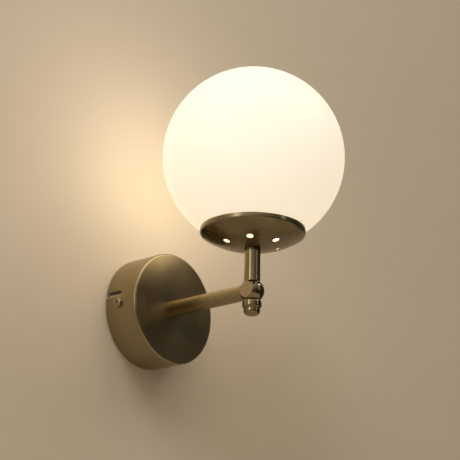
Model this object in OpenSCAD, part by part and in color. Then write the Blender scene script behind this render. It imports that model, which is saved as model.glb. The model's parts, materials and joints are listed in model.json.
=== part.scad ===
/* [Canopy] */
// Outside diameter of the canopy
canopy_d = 94; // [88:1:120]
// Distance from the wall to the canopy's front face
canopy_depth = 34; // [34:1:60]
// Thickness of the canopy's spun sheet
canopy_wall = 1; // [0.8:0.1:1.4]
// Radius of the canopy's front edge
canopy_edge_r = 1.8; // [1.5:0.1:6]
// Shadow gap between the wall and the canopy's rear rim
canopy_gap = 0.3; // [0.2:0.1:1]

/* [Wall bracket] */
// Width of the bracket's strap
strap_w = 16; // [12:1:20]
// Thickness of the bracket's strap
strap_t = 1.5; // [1:0.1:2.5]
// Inside radius of the strap's two bends
bend_r = 1; // [0.5:0.5:2.5]
// Distance between the two wall fixing holes
wall_hole_pitch = 60; // [40:1:66]
// Diameter of the wall fixing holes
wall_hole_d = 4.5; // [4:0.1:6]
// Diameter of the hole that lets the house cable in
cable_hole_d = 10; // [8:0.5:14]
// Gap between the ears' corners and the inside of the canopy
ear_gap = 0.5; // [0.3:0.1:1.5]
// Diameter of the threaded boss inside each ear
boss_d = 7; // [6:0.5:10]
// Height of the threaded boss inside each ear
boss_h = 2; // [1:0.5:4]
// How far the bracket is turned about the arm's axis, in degrees
bracket_turn = 2.8; // [0:0.1:6]

/* [Side screws] */
// Thread diameter of the side screws
side_screw_d = 4; // [3:0.5:5]
// Length of a side screw under its head
side_screw_len = 9; // [7:0.5:14]
// Head diameter of the side screws
side_head_d = 8; // [6:0.5:10]
// Head height of the side screws
side_head_h = 2.4; // [2:0.1:3.5]
// Distance of the side screws from the wall
side_screw_out = 15; // [13:0.5:20]
// Gap between a side screw's head and the canopy
side_head_gap = 0.15; // [0.1:0.05:0.5]
// Width of the cross recess
recess_w = 1.1; // [0.6:0.1:1.6]
// Span of the cross recess
recess_span = 4.6; // [3:0.1:5.5]
// Depth of the cross recess
recess_depth = 1.3; // [0.6:0.1:1.6]

/* [Bayonet slots] */
// Clearance beside a screw in its slot
slot_clear = 0.45; // [0.2:0.05:1]
// Angle that the canopy turns from its lock to the slots' way out
slot_turn = 10; // [8:0.5:20]

/* [Arm and stem tube] */
// Outside diameter of the arm and of the stem's sleeve
tube_d = 13; // [11.5:0.1:16]
// Wall of the arm and of the stem's sleeve
tube_wall = 1.5; // [1:0.1:1.7]
// Distance from the wall to the centre of the ball
reach = 118.5; // [100:0.5:180]
// Length of the threaded plug in each end of the arm
plug_len = 12; // [10.5:0.5:18]

/* [Threaded tubes and nuts] */
// Thread diameter of the threaded tubes
thread_d = 8; // [7:0.1:8.4]
// Wall of the threaded tubes
thread_wall = 1.2; // [1:0.05:1.25]
// Clearance round every thread
thread_clear = 0.05; // [0.02:0.01:0.1]
// How far a threaded tube goes into the arm
thread_grip = 10; // [6:0.5:10.4]
// Size across the flats of the thin nuts
nut_af = 13; // [11:0.5:17]
// Height of the thin nuts
nut_h = 3; // [2:0.5:4]
// Diameter of the washer inside the canopy
washer_d = 16; // [12:0.5:24]
// Thickness of the washer inside the canopy
washer_t = 1; // [0.6:0.1:2]
// How far the rear threaded tube stands out of its nut
thread_proud = 1.5; // [0.5:0.5:4]

/* [Ball coupling] */
// Diameter of the ball
ball_d = 20; // [19:0.5:26]
// Gap between the ball and the arm's end that it turns against
swivel_gap = 0.1; // [0.05:0.05:0.3]
// Gap between the two threaded tubes inside the ball
ball_core_gap = 0.1; // [0.05:0.05:0.5]

/* [Finial] */
// Diameter of the finial's ring
ring_d = 15.6; // [14:0.1:20]
// Height of the finial's ring
ring_h = 7.1; // [5:0.1:10]
// Rounding of the ring's two edges
ring_round = 2.3; // [0.5:0.1:2.4]
// Diameter of the finial's cap
cap_d = 13.2; // [10:0.1:15]
// Height of the finial's cap
cap_h = 5.4; // [4:0.1:10]
// Rounding of the cap's lower edge
cap_round = 3.4; // [1:0.1:3.9]
// Diameter of the small dimple under the cap
dimple_d = 1.6; // [1:0.1:3]
// Depth of the small dimple under the cap
dimple_depth = 0.8; // [0.4:0.1:2]

/* [Fitter bowl] */
// Diameter of the bowl's rim
rim_d = 86; // [80:1:110]
// Height of the rim's top above the arm's axis
rim_top = 52; // [48:0.5:90]
// Height of the rim's upright band
rim_h = 4.2; // [3:0.1:8]
// Wall of the bowl
bowl_wall = 1; // [0.8:0.1:1.4]
// Rounding between the rim's band and the bowl's underside
bowl_round = 2.5; // [1.5:0.1:5]
// How far the flat under the stem's nut runs past the stem
land_margin = 1.5; // [1:0.1:3]
// Number of vent holes
vents = 6; // [3:1:10]
// Diameter of the vent holes
vent_d = 5.5; // [3:0.5:7]
// Diameter of the circle of vent holes
vent_pcd = 46; // [40:1:50]
// Angle of the first vent hole from the X axis, in degrees
vent_turn = 34.5; // [0:0.5:60]

/* [Globe] */
// Diameter of the globe
globe_d = 150; // [130:1:200]
// Gap between the globe and the inside of the bowl's rim
globe_rim_gap = 0.85; // [0.5:0.05:2]
// Wall of the globe
globe_wall = 2.5; // [1.5:0.1:4]
// Diameter of the globe's mouth
mouth_d = 66; // [62:1:68]
// Height of the thick lip inside the mouth
lip_h = 8; // [5:0.5:12]
// Thickness of the lip inside the mouth
lip_wall = 3.5; // [2.5:0.1:5]

/* [Globe ring and gasket] */
// Gap between the globe's mouth and the ring's thread
mouth_gap = 0.4; // [0.3:0.1:1]
// Wall of the ring that the globe screws onto
gallery_wall = 1.2; // [0.8:0.1:2]
// Height of the ring above the globe's mouth edge
gallery_h = 12; // [8:0.5:16]
// Number of thread ridges on the ring
ridges = 3; // [1:1:4]
// Distance between the thread ridges
ridge_pitch = 3.2; // [2.4:0.1:4]
// Height of a thread ridge
ridge_h = 0.9; // [0.5:0.1:1.5]
// Width of a thread ridge
ridge_w = 1.6; // [1:0.1:2.2]
// Width of the gasket
gasket_w = 4; // [2:0.5:6]
// Distance from the globe's mouth edge to the gasket
gasket_inset = 1; // [0.5:0.5:3]
// Gap between the gasket and the curved faces on both sides of it
gasket_gap = 0.3; // [0.2:0.05:0.5]

/* [Lamp holder] */
// Diameter of the lamp holder
holder_d = 28; // [27.5:0.5:32]
// Wall of the lamp holder
holder_wall = 1.6; // [1.2:0.1:2]
// Height of the holder's lower cap
holder_cap_h = 22; // [22:0.5:28]
// Height of the cap's floor, which is threaded
holder_floor = 7; // [5:0.5:8]
// Height of the holder's skirt
skirt_h = 22; // [20:0.5:26]
// Height of the ceramic insulator
insulator_h = 6; // [5:0.5:8]
// Width of the ledges that hold the insulator
ledge_w = 1.4; // [1:0.1:2]
// Small gap round the insulator
insulator_gap = 0.1; // [0.05:0.05:0.3]
// Wall of the threaded contact shell
shell_wall = 0.5; // [0.3:0.1:0.8]
// Diameter of the contact shell's foot
shell_foot_d = 21; // [18:0.5:21.5]
// Thickness of the contact shell's foot
shell_foot_t = 0.6; // [0.4:0.1:1]
// Clearance round the bulb's thread
bulb_clear = 0.3; // [0.2:0.05:0.4]
// Height of the collar at the skirt's top
collar_h = 2.6; // [2:0.1:4]
// Gap between the skirt's collar and the contact shell's top
collar_gap = 0.4; // [0.2:0.1:1]
// Gap between the bulb's thread and the skirt's collar
collar_clear = 1.3; // [1:0.1:2]
// Distance that the spring contact reaches from the holder's axis
contact_reach = 5.8; // [4.5:0.1:6.2]
// Length of the spring contact's slanted part
contact_slope = 1; // [0.5:0.1:1.5]
// Width of the spring contact
contact_w = 4; // [3:0.5:5]
// Thickness of the spring contact
contact_t = 0.5; // [0.3:0.1:0.8]
// Height of the spring contact above the insulator
contact_h = 2; // [1.5:0.1:3]
// Diameter of the spring contact's rivet
rivet_d = 2; // [1.6:0.1:2.6]

/* [Bulb] */
// Diameter of the bulb's dome
bulb_d = 45; // [40:1:60]
// Length of the bulb from its tip to its top
bulb_len = 78; // [72:1:92]
// Thread diameter of the bulb's cap
bulb_cap_d = 13.9; // [13.5:0.1:14]
// Length from the bulb's tip to the foot of its body
bulb_cap_len = 17.2; // [16.9:0.1:18]
// Depth of the thread on the bulb's cap
bulb_thread_depth = 0.5; // [0.3:0.1:0.6]
// Pitch of the thread on the bulb's cap
bulb_thread_pitch = 2.8; // [2.4:0.1:3]
// Wall of the bulb's cap
bulb_cap_wall = 0.5; // [0.3:0.1:1]
// Diameter of the bulb's contact tip
tip_d = 4.8; // [4:0.1:6]
// Height of the bulb's contact tip
tip_h = 1; // [0.8:0.1:1.5]
// Height of the black insulator round the tip
tip_insulator_h = 2.4; // [1.5:0.1:3]
// Gap between the bulb's tip and the spring contact
tip_gap = 0.2; // [0.1:0.05:0.4]
// Diameter of the foot of the bulb's body
bulb_foot_d = 17; // [15:0.5:20]
// Length of the bulb's body
bulb_body_len = 26.8; // [22:0.1:30]
// Wall of the bulb's body
bulb_body_wall = 1.2; // [0.8:0.1:2]
// Wall of the bulb's dome
dome_wall = 1; // [0.6:0.1:2]
// Thickness of the light board
led_board_t = 1.5; // [1:0.1:2]
// Width of the ledge under the light board
board_ledge = 0.8; // [0.4:0.1:1.5]
// Number of light chips
led_count = 8; // [4:1:12]
// Size of a light chip
led_size = 2.8; // [2:0.1:4]
// Height of a light chip
led_h = 0.6; // [0.4:0.1:1]
// Diameter of the circle of light chips
led_pcd = 22; // [16:1:26]
// Width of the driver board
driver_w = 12; // [8:0.5:13]
// Length of the driver board
driver_len = 21; // [14:0.5:22]
// Thickness of the driver board
driver_t = 1.2; // [0.8:0.1:1.6]

/* [Terminal block] */
// Thickness of the plate that carries the terminal block
plate_t = 1.5; // [1:0.1:2]
// Width of the plate that carries the terminal block
plate_w = 14; // [12:0.5:18]
// Distance from the arm's axis to the block's middle
block_drop = 24; // [22:0.5:28]
// Length of the terminal block along its wires
block_len = 16; // [14:0.5:17]
// Width of the terminal block
block_w = 22; // [21:0.5:30]
// Thickness of the terminal block's base
block_base = 3; // [2:0.5:4]
// Height of the terminal block over its screw towers
block_h = 12; // [10:0.5:14]
// Distance between the two poles
pole_pitch = 13; // [12:0.5:16]
// Diameter of the housing round each pole
pole_d = 7.2; // [6.5:0.1:7.4]
// Height of the poles' axes above the plate
pole_up = 5.5; // [4.5:0.5:6.5]
// Outside diameter of the brass inserts
insert_d = 5; // [4.4:0.1:5.6]
// Wall of the brass inserts
insert_wall = 0.9; // [0.6:0.1:1.2]
// Length of the brass inserts
insert_len = 14; // [10:0.5:14]
// Distance between the two screws of a pole
pole_screw_pitch = 7; // [5.5:0.5:8]
// Thread diameter of the pole screws
pole_screw_d = 2.6; // [2:0.1:3]
// Head diameter of the pole screws
pole_head_d = 3.6; // [3:0.1:4.2]
// Wall of the towers round the pole screws
tower_wall = 0.9; // [0.6:0.1:1.5]
// How far the pole screws' heads lie under the towers' tops
pole_screw_sunk = 1.2; // [0.5:0.1:2]
// Height of the pole screws' heads
pole_head_h = 1.6; // [1:0.1:2.5]
// Diameter of the screw that holds the block
block_screw_d = 3; // [2:0.5:3.5]
// Head diameter of the screw that holds the block
block_head_d = 5.2; // [4:0.1:5.4]
// Head height of the screw that holds the block
block_head_h = 1.8; // [1.2:0.1:2.5]
// Distance from the arm's axis to the earth screw
earth_up = 16; // [14:0.5:20]
// Thread diameter of the earth screw
earth_screw_d = 4; // [3:0.5:5]
// Head diameter of the earth screw
earth_head_d = 7.5; // [6:0.5:9]
// Head height of the earth screw
earth_head_h = 2.4; // [1.8:0.1:3]
// Thickness of the earth tags
tag_t = 0.8; // [0.5:0.1:1]
// Width of the earth tags' tails
tag_w = 4; // [3:0.5:5]
// Outside diameter of the earth tags' barrels
barrel_d = 3.4; // [3:0.1:4]
// Height of the earth tags' barrels
barrel_h = 5; // [3:0.5:6]
// Small clearance between parts that are fixed together
fit_clear = 0.05; // [0.02:0.01:0.1]

/* [Leads] */
// Diameter of the sheathed cable inside the arm and the stem
cable_d = 5; // [4:0.1:5.2]
// Diameter of a single lead
lead_d = 1.9; // [1.4:0.1:1.9]
// How far the cable's sheath stands out of a threaded tube
cable_proud = 1; // [0.5:0.5:2]

/* [Hidden] */
$fn = 96;
lead_sides = 8;
small_fn = 48;
cut = 1;

// Canopy and bracket, in distances from the wall and from the arm's axis
canopy_r = canopy_d / 2;
canopy_inside = canopy_depth - canopy_wall;
ear_x = sqrt(pow(canopy_r - canopy_wall - ear_gap, 2) - pow(strap_w / 2, 2));
slot_w = side_screw_d + 2 * slot_clear;
slot_top = side_screw_out + slot_w / 2;
slot_start = canopy_r - canopy_edge_r - canopy_wall;
slot_reach = canopy_r + cut - slot_start;
slot_end_turn = asin(slot_w / 2 / canopy_r);
side_screw_bore = side_screw_d + 2 * fit_clear;

// Plate, washer and nut inside the canopy
plate_z = canopy_inside - plate_t;
washer_z = plate_z - washer_t;
rear_nut_z = washer_z - nut_h;
rear_thread_z = rear_nut_z - thread_proud;
thread_bore = thread_d + 2 * thread_clear;
thread_hole = thread_d - 2 * thread_wall;
tube_bore = tube_d - 2 * tube_wall;

// Ball, with flats of the tubes' own diameter
ball_r = ball_d / 2;
flat_out = sqrt(pow(ball_r, 2) - pow(tube_d / 2, 2));
core_out = thread_d / 2 + ball_core_gap;
arm_end = reach - flat_out - swivel_gap;
front_thread_end = reach - core_out;

// Bowl and globe, in heights above the arm's axis
globe_r = globe_d / 2;
rim_r = rim_d / 2;
globe_z = rim_top + sqrt(pow(globe_r, 2) - pow(rim_r - bowl_wall - globe_rim_gap, 2));
rim_foot = rim_top - rim_h;
bowl_r = sqrt(pow(rim_r, 2) + pow(globe_z - rim_foot, 2));
bowl_inside_r = bowl_r - bowl_wall;
land_r = tube_d / 2 + land_margin;
land_z = globe_z - sqrt(pow(bowl_r, 2) - pow(land_r, 2));
land_top = land_z + bowl_wall;
stem_nut_z = land_top;
bowl_tag_z = stem_nut_z + nut_h;
mouth_r = mouth_d / 2;
mouth_z = globe_z - sqrt(pow(globe_r, 2) - pow(mouth_r, 2));
lip_z = globe_z - sqrt(pow(globe_r - globe_wall, 2) - pow(mouth_r + lip_wall, 2));
gallery_r = mouth_r - mouth_gap;
gallery_top = mouth_z + gallery_h;

// Lamp holder and bulb, in heights above the arm's axis
holder_z = bowl_tag_z + tag_t;
holder_r = holder_d / 2;
holder_inside_r = holder_r - holder_wall;
ledge_r = holder_inside_r - ledge_w;
insulator_z = holder_z + holder_cap_h - insulator_h / 2;
insulator_top = insulator_z + insulator_h;
skirt_z = holder_z + holder_cap_h;
skirt_top = skirt_z + skirt_h;
shell_r = bulb_cap_d / 2 + bulb_clear;
shell_top = skirt_top - collar_h - collar_gap;
stem_thread_top = holder_z + holder_floor - fit_clear;
bulb_z = insulator_top + contact_h + tip_gap;
bulb_foot_z = bulb_z + bulb_cap_len;
bulb_split_z = bulb_foot_z + bulb_body_len;
bulb_centre_z = bulb_z + bulb_len - bulb_d / 2;
bulb_split_r = sqrt(pow(bulb_d / 2, 2) - pow(bulb_centre_z - bulb_split_z, 2));
bulb_shell_z = bulb_z + tip_h + tip_insulator_h;
bulb_core_r = bulb_cap_d / 2 - bulb_thread_depth;
board_seat_r = bulb_split_r - bulb_body_wall;

// Terminal block, seen from the wall
block_screw_tower_d = pole_head_d + 2 * tower_wall + 2 * fit_clear;
pole_z = plate_z - pole_up;
pole_x = pole_pitch / 2;
block_top = plate_z - block_h;

// Routes of the leads: three cores leave the cable round its axis
cable_rear_z = rear_thread_z - cable_proud;
cable_top = stem_thread_top + cable_proud;
core_spread = 1.15;
live_start = [-1, -0.6];
earth_start = [0, core_spread];
barrel_x = 6.5;
live_route = [
    [live_start[0], live_start[1], cable_rear_z],
    [-1.2, -0.8, cable_rear_z - 2.5],
    [-2.2, -3, cable_rear_z - 4.8],
    [-4.2, -7, cable_rear_z - 4.8],
    [-6, -11, cable_rear_z - 2.2],
    [-pole_x, block_len / 2 - block_drop + 1.5, pole_z - 0.4],
    [-pole_x, block_len / 2 - block_drop - 0.5, pole_z],
    [-pole_x, block_len / 2 - block_drop - 5, pole_z],
];
earth_route = [
    [earth_start[0], earth_start[1], cable_rear_z],
    [0.2, 1.6, cable_rear_z - 3],
    [1.5, 4, cable_rear_z - 5.5],
    [4, 9, cable_rear_z - 6.5],
    [6, earth_up - 2.5, cable_rear_z - 5.7],
    [barrel_x, earth_up - 0.2, cable_rear_z - 3.2],
    [barrel_x, earth_up, cable_rear_z - 1],
    [barrel_x, earth_up, plate_z - barrel_h + 1],
];
holder_terminal_x = 6.5;
holder_terminal_h = 4.5;
holder_terminal_z = insulator_z - holder_terminal_h;
tail_y = 18;
earth_hole_z = holder_z + 11;
holder_live_route = [
    [live_start[0], live_start[1], cable_top],
    [-1.2, -0.6, cable_top + 1.2],
    [-3, -0.4, cable_top + 2.7],
    [-5.2, -0.2, cable_top + 3.8],
    [-6.4, 0, cable_top + 5.2],
    [-holder_terminal_x, 0, holder_terminal_z],
    [-holder_terminal_x, 0, holder_terminal_z + 2.5],
];
holder_earth_route = [
    [earth_start[0], earth_start[1], cable_top],
    [0, 1.6, cable_top + 1.4],
    [0, 4, cable_top + 2.8],
    [0, 8, earth_hole_z],
    [0, holder_r - 2, earth_hole_z],
    [0, holder_r + 1, earth_hole_z - 0.6],
    [0, tail_y - 0.8, earth_hole_z - 2.8],
    [0, tail_y, earth_hole_z - 5.5],
    [0, tail_y, holder_z + 3],
    [0, tail_y, holder_z + 1.5],
];
lead_steps = 3;

// Places a child whose z is its distance from the wall and whose y points up
module along_arm() rotate([90, 0, 0]) children();

// Places a child whose z is its height above the arm's axis, on the stem's axis
module at_head() translate([0, -reach, 0]) children();

// Outline of half a round bar of height h, with its upper edge rounded
module bar_outline(r, h, round_r) {
    square([r - round_r, h]);
    square([r, h - round_r]);
    translate([r - round_r, h - round_r]) intersection() {
        circle(r = round_r);
        square(round_r);
    }
}

// Ring or tube standing on z = 0
module tube(outer_d, bore_d, h) {
    difference() {
        cylinder(d = outer_d, h = h);
        translate([0, 0, -cut]) cylinder(d = bore_d, h = h + 2 * cut);
    }
}

// Hexagon nut standing on z = 0
module hex_nut() {
    difference() {
        cylinder(d = nut_af / cos(30), h = nut_h, $fn = 6);
        translate([0, 0, -cut]) cylinder(d = thread_bore, h = nut_h + 2 * cut);
    }
}

// Pan-head screw whose head stands on z = 0 and whose shank points down
module pan_screw(d, length, head_d, head_h) {
    rotate_extrude($fn = small_fn) bar_outline(head_d / 2, head_h, head_h / 2);
    translate([0, 0, -length]) cylinder(d = d, h = length + head_h / 2, $fn = small_fn);
}

// Straight slot across a screw's head whose top is at z = 0
module driver_slot(span, w, depth) cube([span, w, 2 * depth], center = true);

// Cross recess of the side screws and the earth screw
module cross_recess() {
    for (a = [0, 90]) rotate([0, 0, a]) driver_slot(recess_span, recess_w, recess_depth);
}

// Point at share t between b and c on a smooth curve through a, b, c and d
function curve_point(a, b, c, d, t) =
    0.5 * (2 * b + (c - a) * t + (2 * a - 5 * b + 4 * c - d) * t * t + (3 * b - a - 3 * c + d) * t * t * t);

// Smooth route through a list of points
function smooth_route(p) = let (last = len(p) - 1) [
    for (i = [0 : last - 1])
        for (k = [0 : lead_steps - 1])
            curve_point(p[max(i - 1, 0)], p[i], p[i + 1], p[min(i + 2, last)], k / lead_steps),
    p[last]
];

function unit(v) = v / norm(v);
function heading(p, i) = unit(p[min(i + 1, len(p) - 1)] - p[max(i - 1, 0)]);
function squared_to(n, h) = unit(n - (n * h) * h);

// Side vectors that don't twist along a route
function side_vectors(p, first) = [
    for (i = 0, n = squared_to(first, heading(p, 0)); i < len(p);
         i = i + 1, n = squared_to(n, heading(p, min(i, len(p) - 1)))) n
];

// Lead of round section along a route, with its ends square to axis directions
module lead(points, first_side, start_dir, end_dir) {
    p = smooth_route(points);
    last = len(p) - 1;
    headings = [for (i = [0 : last]) i == 0 ? start_dir : i == last ? end_dir : heading(p, i)];
    sides = side_vectors(p, first_side);
    rings = [
        for (i = [0 : last])
            let (h = headings[i], n = squared_to(sides[i], h), b = cross(h, n))
                for (k = [0 : lead_sides - 1])
                    p[i] + lead_d / 2 * (n * cos(360 * k / lead_sides) + b * sin(360 * k / lead_sides))
    ];
    walls = [
        for (i = [0 : last - 1])
            for (k = [0 : lead_sides - 1])
                let (a = i * lead_sides + k, b = i * lead_sides + (k + 1) % lead_sides)
                    each [[a, a + lead_sides, b], [b, a + lead_sides, b + lead_sides]]
    ];
    caps = [
        [for (k = [0 : lead_sides - 1]) k],
        [for (k = [lead_sides - 1 : -1 : 0]) last * lead_sides + k]
    ];
    polyhedron(points = rings, faces = concat(walls, caps));
}

// Strap that is screwed to the wall, with an ear bent forward at each end
module strap_outline(half, inner_r, foot) {
    intersection() {
        union() {
            translate([-half + inner_r, foot]) square([2 * (half - inner_r), canopy_depth]);
            translate([-half, foot + inner_r]) square([2 * half, canopy_depth]);
            for (s = [-1, 1]) translate([s * (half - inner_r), foot + inner_r]) circle(r = inner_r);
        }
        translate([-canopy_r, 0]) square([canopy_d, canopy_depth]);
    }
}

module ear_outline() {
    translate([-strap_w / 2, 0]) square([strap_w, side_screw_out]);
    translate([0, side_screw_out]) circle(d = strap_w);
}

module wall_bracket() {
    color([0.74, 0.75, 0.76])
    along_arm() rotate([0, 0, bracket_turn]) difference() {
        union() {
            intersection() {
                rotate([90, 0, 0]) linear_extrude(height = strap_w, center = true) difference() {
                    strap_outline(ear_x, bend_r + strap_t, 0);
                    strap_outline(ear_x - strap_t, bend_r, strap_t);
                }
                rotate([90, 0, 90]) linear_extrude(height = canopy_d, center = true) ear_outline();
            }
            for (a = [0, 180]) rotate([0, 0, a]) translate([ear_x - strap_t - boss_h, 0, side_screw_out])
                rotate([0, 90, 0]) cylinder(d = boss_d, h = boss_h + strap_t / 2, $fn = small_fn);
        }
        for (a = [0, 180]) rotate([0, 0, a]) {
            translate([ear_x / 2, 0, side_screw_out]) rotate([0, 90, 0])
                cylinder(d = side_screw_bore, h = canopy_r, $fn = small_fn);
            translate([wall_hole_pitch / 2, 0, -cut])
                cylinder(d = wall_hole_d, h = strap_t + 2 * cut, $fn = small_fn);
        }
        translate([0, 0, -cut]) cylinder(d = cable_hole_d, h = strap_t + 2 * cut, $fn = small_fn);
    }
}

module side_screws() {
    color([0.78, 0.76, 0.70])
    along_arm() for (a = [0, 180]) rotate([0, 0, bracket_turn + a])
        translate([canopy_r + side_head_gap, 0, side_screw_out]) rotate([0, 90, 0]) difference() {
            pan_screw(side_screw_d, side_screw_len, side_head_d, side_head_h);
            translate([0, 0, side_head_h]) cross_recess();
        }
}

// Outline of half the canopy's cup, drawn in from its outside by inset
module cup_outline(inset, foot) {
    translate([0, foot])
        bar_outline(canopy_r - inset, canopy_depth - inset - foot, canopy_edge_r - inset);
}

// Slot from the rear rim to the screw's place, which lies on the x axis
module bayonet_slot() {
    rotate([0, 0, -slot_turn])
        translate([slot_start, -slot_w / 2, -cut]) cube([slot_reach, slot_w, slot_top + cut]);
    rotate([0, 0, -slot_turn])
        rotate_extrude(angle = slot_turn + slot_end_turn) translate([slot_start, slot_top - slot_w])
            square([slot_reach, slot_w]);
}

module canopy() {
    color([0.60, 0.55, 0.45])
    along_arm() difference() {
        rotate_extrude() difference() {
            cup_outline(0, canopy_gap);
            cup_outline(canopy_wall, 0);
        }
        cylinder(d = thread_bore, h = canopy_depth + cut);
        for (a = [0, 180]) rotate([0, 0, bracket_turn + a]) bayonet_slot();
    }
}

module block_plate() {
    color([0.74, 0.75, 0.76])
    along_arm() translate([0, 0, plate_z]) difference() {
        linear_extrude(height = plate_t) {
            translate([-plate_w / 2, -block_drop - block_len / 2])
                square([plate_w, block_drop + block_len / 2 + earth_up]);
            translate([0, earth_up]) circle(d = plate_w, $fn = small_fn);
        }
        translate([0, 0, -cut]) cylinder(d = thread_bore, h = plate_t + 2 * cut);
        translate([0, -block_drop, -cut])
            cylinder(d = block_screw_d + 2 * fit_clear, h = plate_t + 2 * cut, $fn = small_fn);
        translate([0, earth_up, -cut])
            cylinder(d = earth_screw_d + 2 * fit_clear, h = plate_t + 2 * cut, $fn = small_fn);
    }
}

// Places a child at each pole: z towards the plate, x across, y along the wire
module at_poles() {
    for (s = [-1, 1]) translate([s * pole_x, -block_drop, pole_z]) children();
}

module at_pole_screws() {
    at_poles() for (s = [-1, 1]) translate([0, s * pole_screw_pitch / 2, 0]) children();
}

module terminal_block() {
    color([0.92, 0.91, 0.87])
    along_arm() difference() {
        union() {
            translate([-block_w / 2, -block_drop - block_len / 2, plate_z - block_base])
                cube([block_w, block_len, block_base]);
            at_poles() {
                rotate([90, 0, 0]) cylinder(d = pole_d, h = block_len, center = true, $fn = small_fn);
                translate([-pole_d / 2, -block_len / 2, 0])
                    cube([pole_d, block_len, pole_up - block_base / 2]);
            }
            at_pole_screws() translate([0, 0, pole_up - block_h])
                cylinder(d = block_screw_tower_d, h = block_h - pole_up, $fn = small_fn);
        }
        at_poles() rotate([90, 0, 0])
            cylinder(d = insert_d + 2 * fit_clear, h = block_len + 2 * cut, center = true, $fn = small_fn);
        at_pole_screws() translate([0, 0, pole_up - block_h - cut])
            cylinder(d = pole_head_d + 2 * fit_clear, h = block_h - pole_up + cut, $fn = small_fn);
        translate([0, -block_drop, plate_z - block_base - cut])
            cylinder(d = block_screw_d + 2 * fit_clear, h = block_base + 2 * cut, $fn = small_fn);
    }
}

module terminal_inserts() {
    color([0.83, 0.68, 0.38])
    along_arm() difference() {
        at_poles() rotate([90, 0, 0]) difference() {
            cylinder(d = insert_d, h = insert_len, center = true, $fn = small_fn);
            cylinder(d = insert_d - 2 * insert_wall, h = insert_len + 2 * cut, center = true,
                     $fn = small_fn);
        }
        at_pole_screws() translate([0, 0, -insert_d])
            cylinder(d = pole_screw_d + 2 * fit_clear, h = insert_d, $fn = small_fn);
    }
}

module terminal_screws() {
    shank = block_h - pole_up - pole_screw_sunk - pole_head_h - lead_d / 2 - fit_clear;
    color([0.80, 0.78, 0.70])
    along_arm() at_pole_screws() translate([0, 0, pole_up - block_h + pole_screw_sunk + pole_head_h])
        rotate([180, 0, 0]) difference() {
            pan_screw(pole_screw_d, shank, pole_head_d, pole_head_h);
            translate([0, 0, pole_head_h]) driver_slot(pole_head_d + cut, pole_head_d / 5, pole_head_h / 2);
        }
}

module block_screw() {
    color([0.80, 0.78, 0.70])
    along_arm() translate([0, -block_drop, plate_z - block_base]) rotate([180, 0, 0]) difference() {
        pan_screw(block_screw_d, block_base + plate_t, block_head_d, block_head_h);
        translate([0, 0, block_head_h]) driver_slot(block_head_d + cut, block_head_d / 6, block_head_h / 2);
    }
}

module earth_screw() {
    color([0.80, 0.78, 0.70])
    along_arm() translate([0, earth_up, plate_z - tag_t]) rotate([180, 0, 0]) difference() {
        pan_screw(earth_screw_d, tag_t + plate_t, earth_head_d, earth_head_h);
        translate([0, 0, earth_head_h]) cross_recess();
    }
}

// Ring tag lying on z = 0 with a tail along x and an upright barrel for the lead
module earth_tag(ring_outer_d, ring_bore, tail_len) {
    difference() {
        union() {
            cylinder(d = ring_outer_d, h = tag_t);
            translate([0, -tag_w / 2, 0]) cube([tail_len, tag_w, tag_t]);
            translate([tail_len, 0, 0]) cylinder(d = barrel_d, h = barrel_h, $fn = small_fn);
            translate([tail_len, 0, 0]) cylinder(d = tag_w, h = tag_t, $fn = small_fn);
        }
        translate([0, 0, -cut]) cylinder(d = ring_bore, h = tag_t + 2 * cut);
        translate([tail_len, 0, tag_t]) cylinder(d = lead_d + 4 * fit_clear, h = barrel_h, $fn = small_fn);
    }
}

module canopy_earth_tag() {
    color([0.83, 0.68, 0.38])
    along_arm() translate([0, earth_up, plate_z]) rotate([180, 0, 0])
        earth_tag(earth_head_d, earth_screw_d + 2 * fit_clear, barrel_x);
}

module rear_threaded_tube() {
    color([0.78, 0.76, 0.70])
    along_arm() translate([0, 0, rear_thread_z])
        tube(thread_d, thread_hole, canopy_depth + thread_grip - rear_thread_z);
}

module canopy_washer() {
    color([0.78, 0.76, 0.70])
    along_arm() translate([0, 0, washer_z]) tube(washer_d, thread_bore, washer_t);
}

module canopy_nut() {
    color([0.83, 0.68, 0.38])
    along_arm() translate([0, 0, rear_nut_z]) hex_nut();
}

module arm_tube() {
    color([0.60, 0.55, 0.45])
    along_arm() difference() {
        translate([0, 0, canopy_depth]) cylinder(d = tube_d, h = arm_end - canopy_depth);
        translate([0, 0, canopy_depth - cut])
            cylinder(d = thread_bore, h = arm_end - canopy_depth + 2 * cut);
        translate([0, 0, canopy_depth + plug_len])
            cylinder(d = tube_bore, h = arm_end - canopy_depth - 2 * plug_len);
    }
}

module front_threaded_tube() {
    color([0.78, 0.76, 0.70])
    along_arm() translate([0, 0, arm_end - thread_grip])
        tube(thread_d, thread_hole, front_thread_end - arm_end + thread_grip);
}

module arm_cable() {
    color([0.88, 0.87, 0.84])
    along_arm() translate([0, 0, cable_rear_z]) cylinder(d = cable_d, h = front_thread_end - cable_rear_z);
}

module live_lead() {
    color([0.42, 0.26, 0.15])
    along_arm() lead(live_route, [1, 0, 0], [0, 0, -1], [0, -1, 0]);
}

module neutral_lead() {
    color([0.16, 0.34, 0.66])
    along_arm() mirror([1, 0, 0]) lead(live_route, [1, 0, 0], [0, 0, -1], [0, -1, 0]);
}

module earth_lead() {
    color([0.45, 0.66, 0.18])
    along_arm() lead(earth_route, [1, 0, 0], [0, 0, -1], [0, 0, 1]);
}

module ball_coupling() {
    color([0.46, 0.42, 0.35])
    at_head() difference() {
        intersection() {
            sphere(r = ball_r);
            translate([-flat_out, -ball_r, -flat_out])
                cube([2 * flat_out, ball_r + flat_out, 2 * flat_out]);
        }
        translate([0, 0, -ball_r]) cylinder(d = thread_bore, h = ball_d);
        rotate([-90, 0, 0]) cylinder(d = thread_bore, h = ball_r);
    }
}

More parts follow.
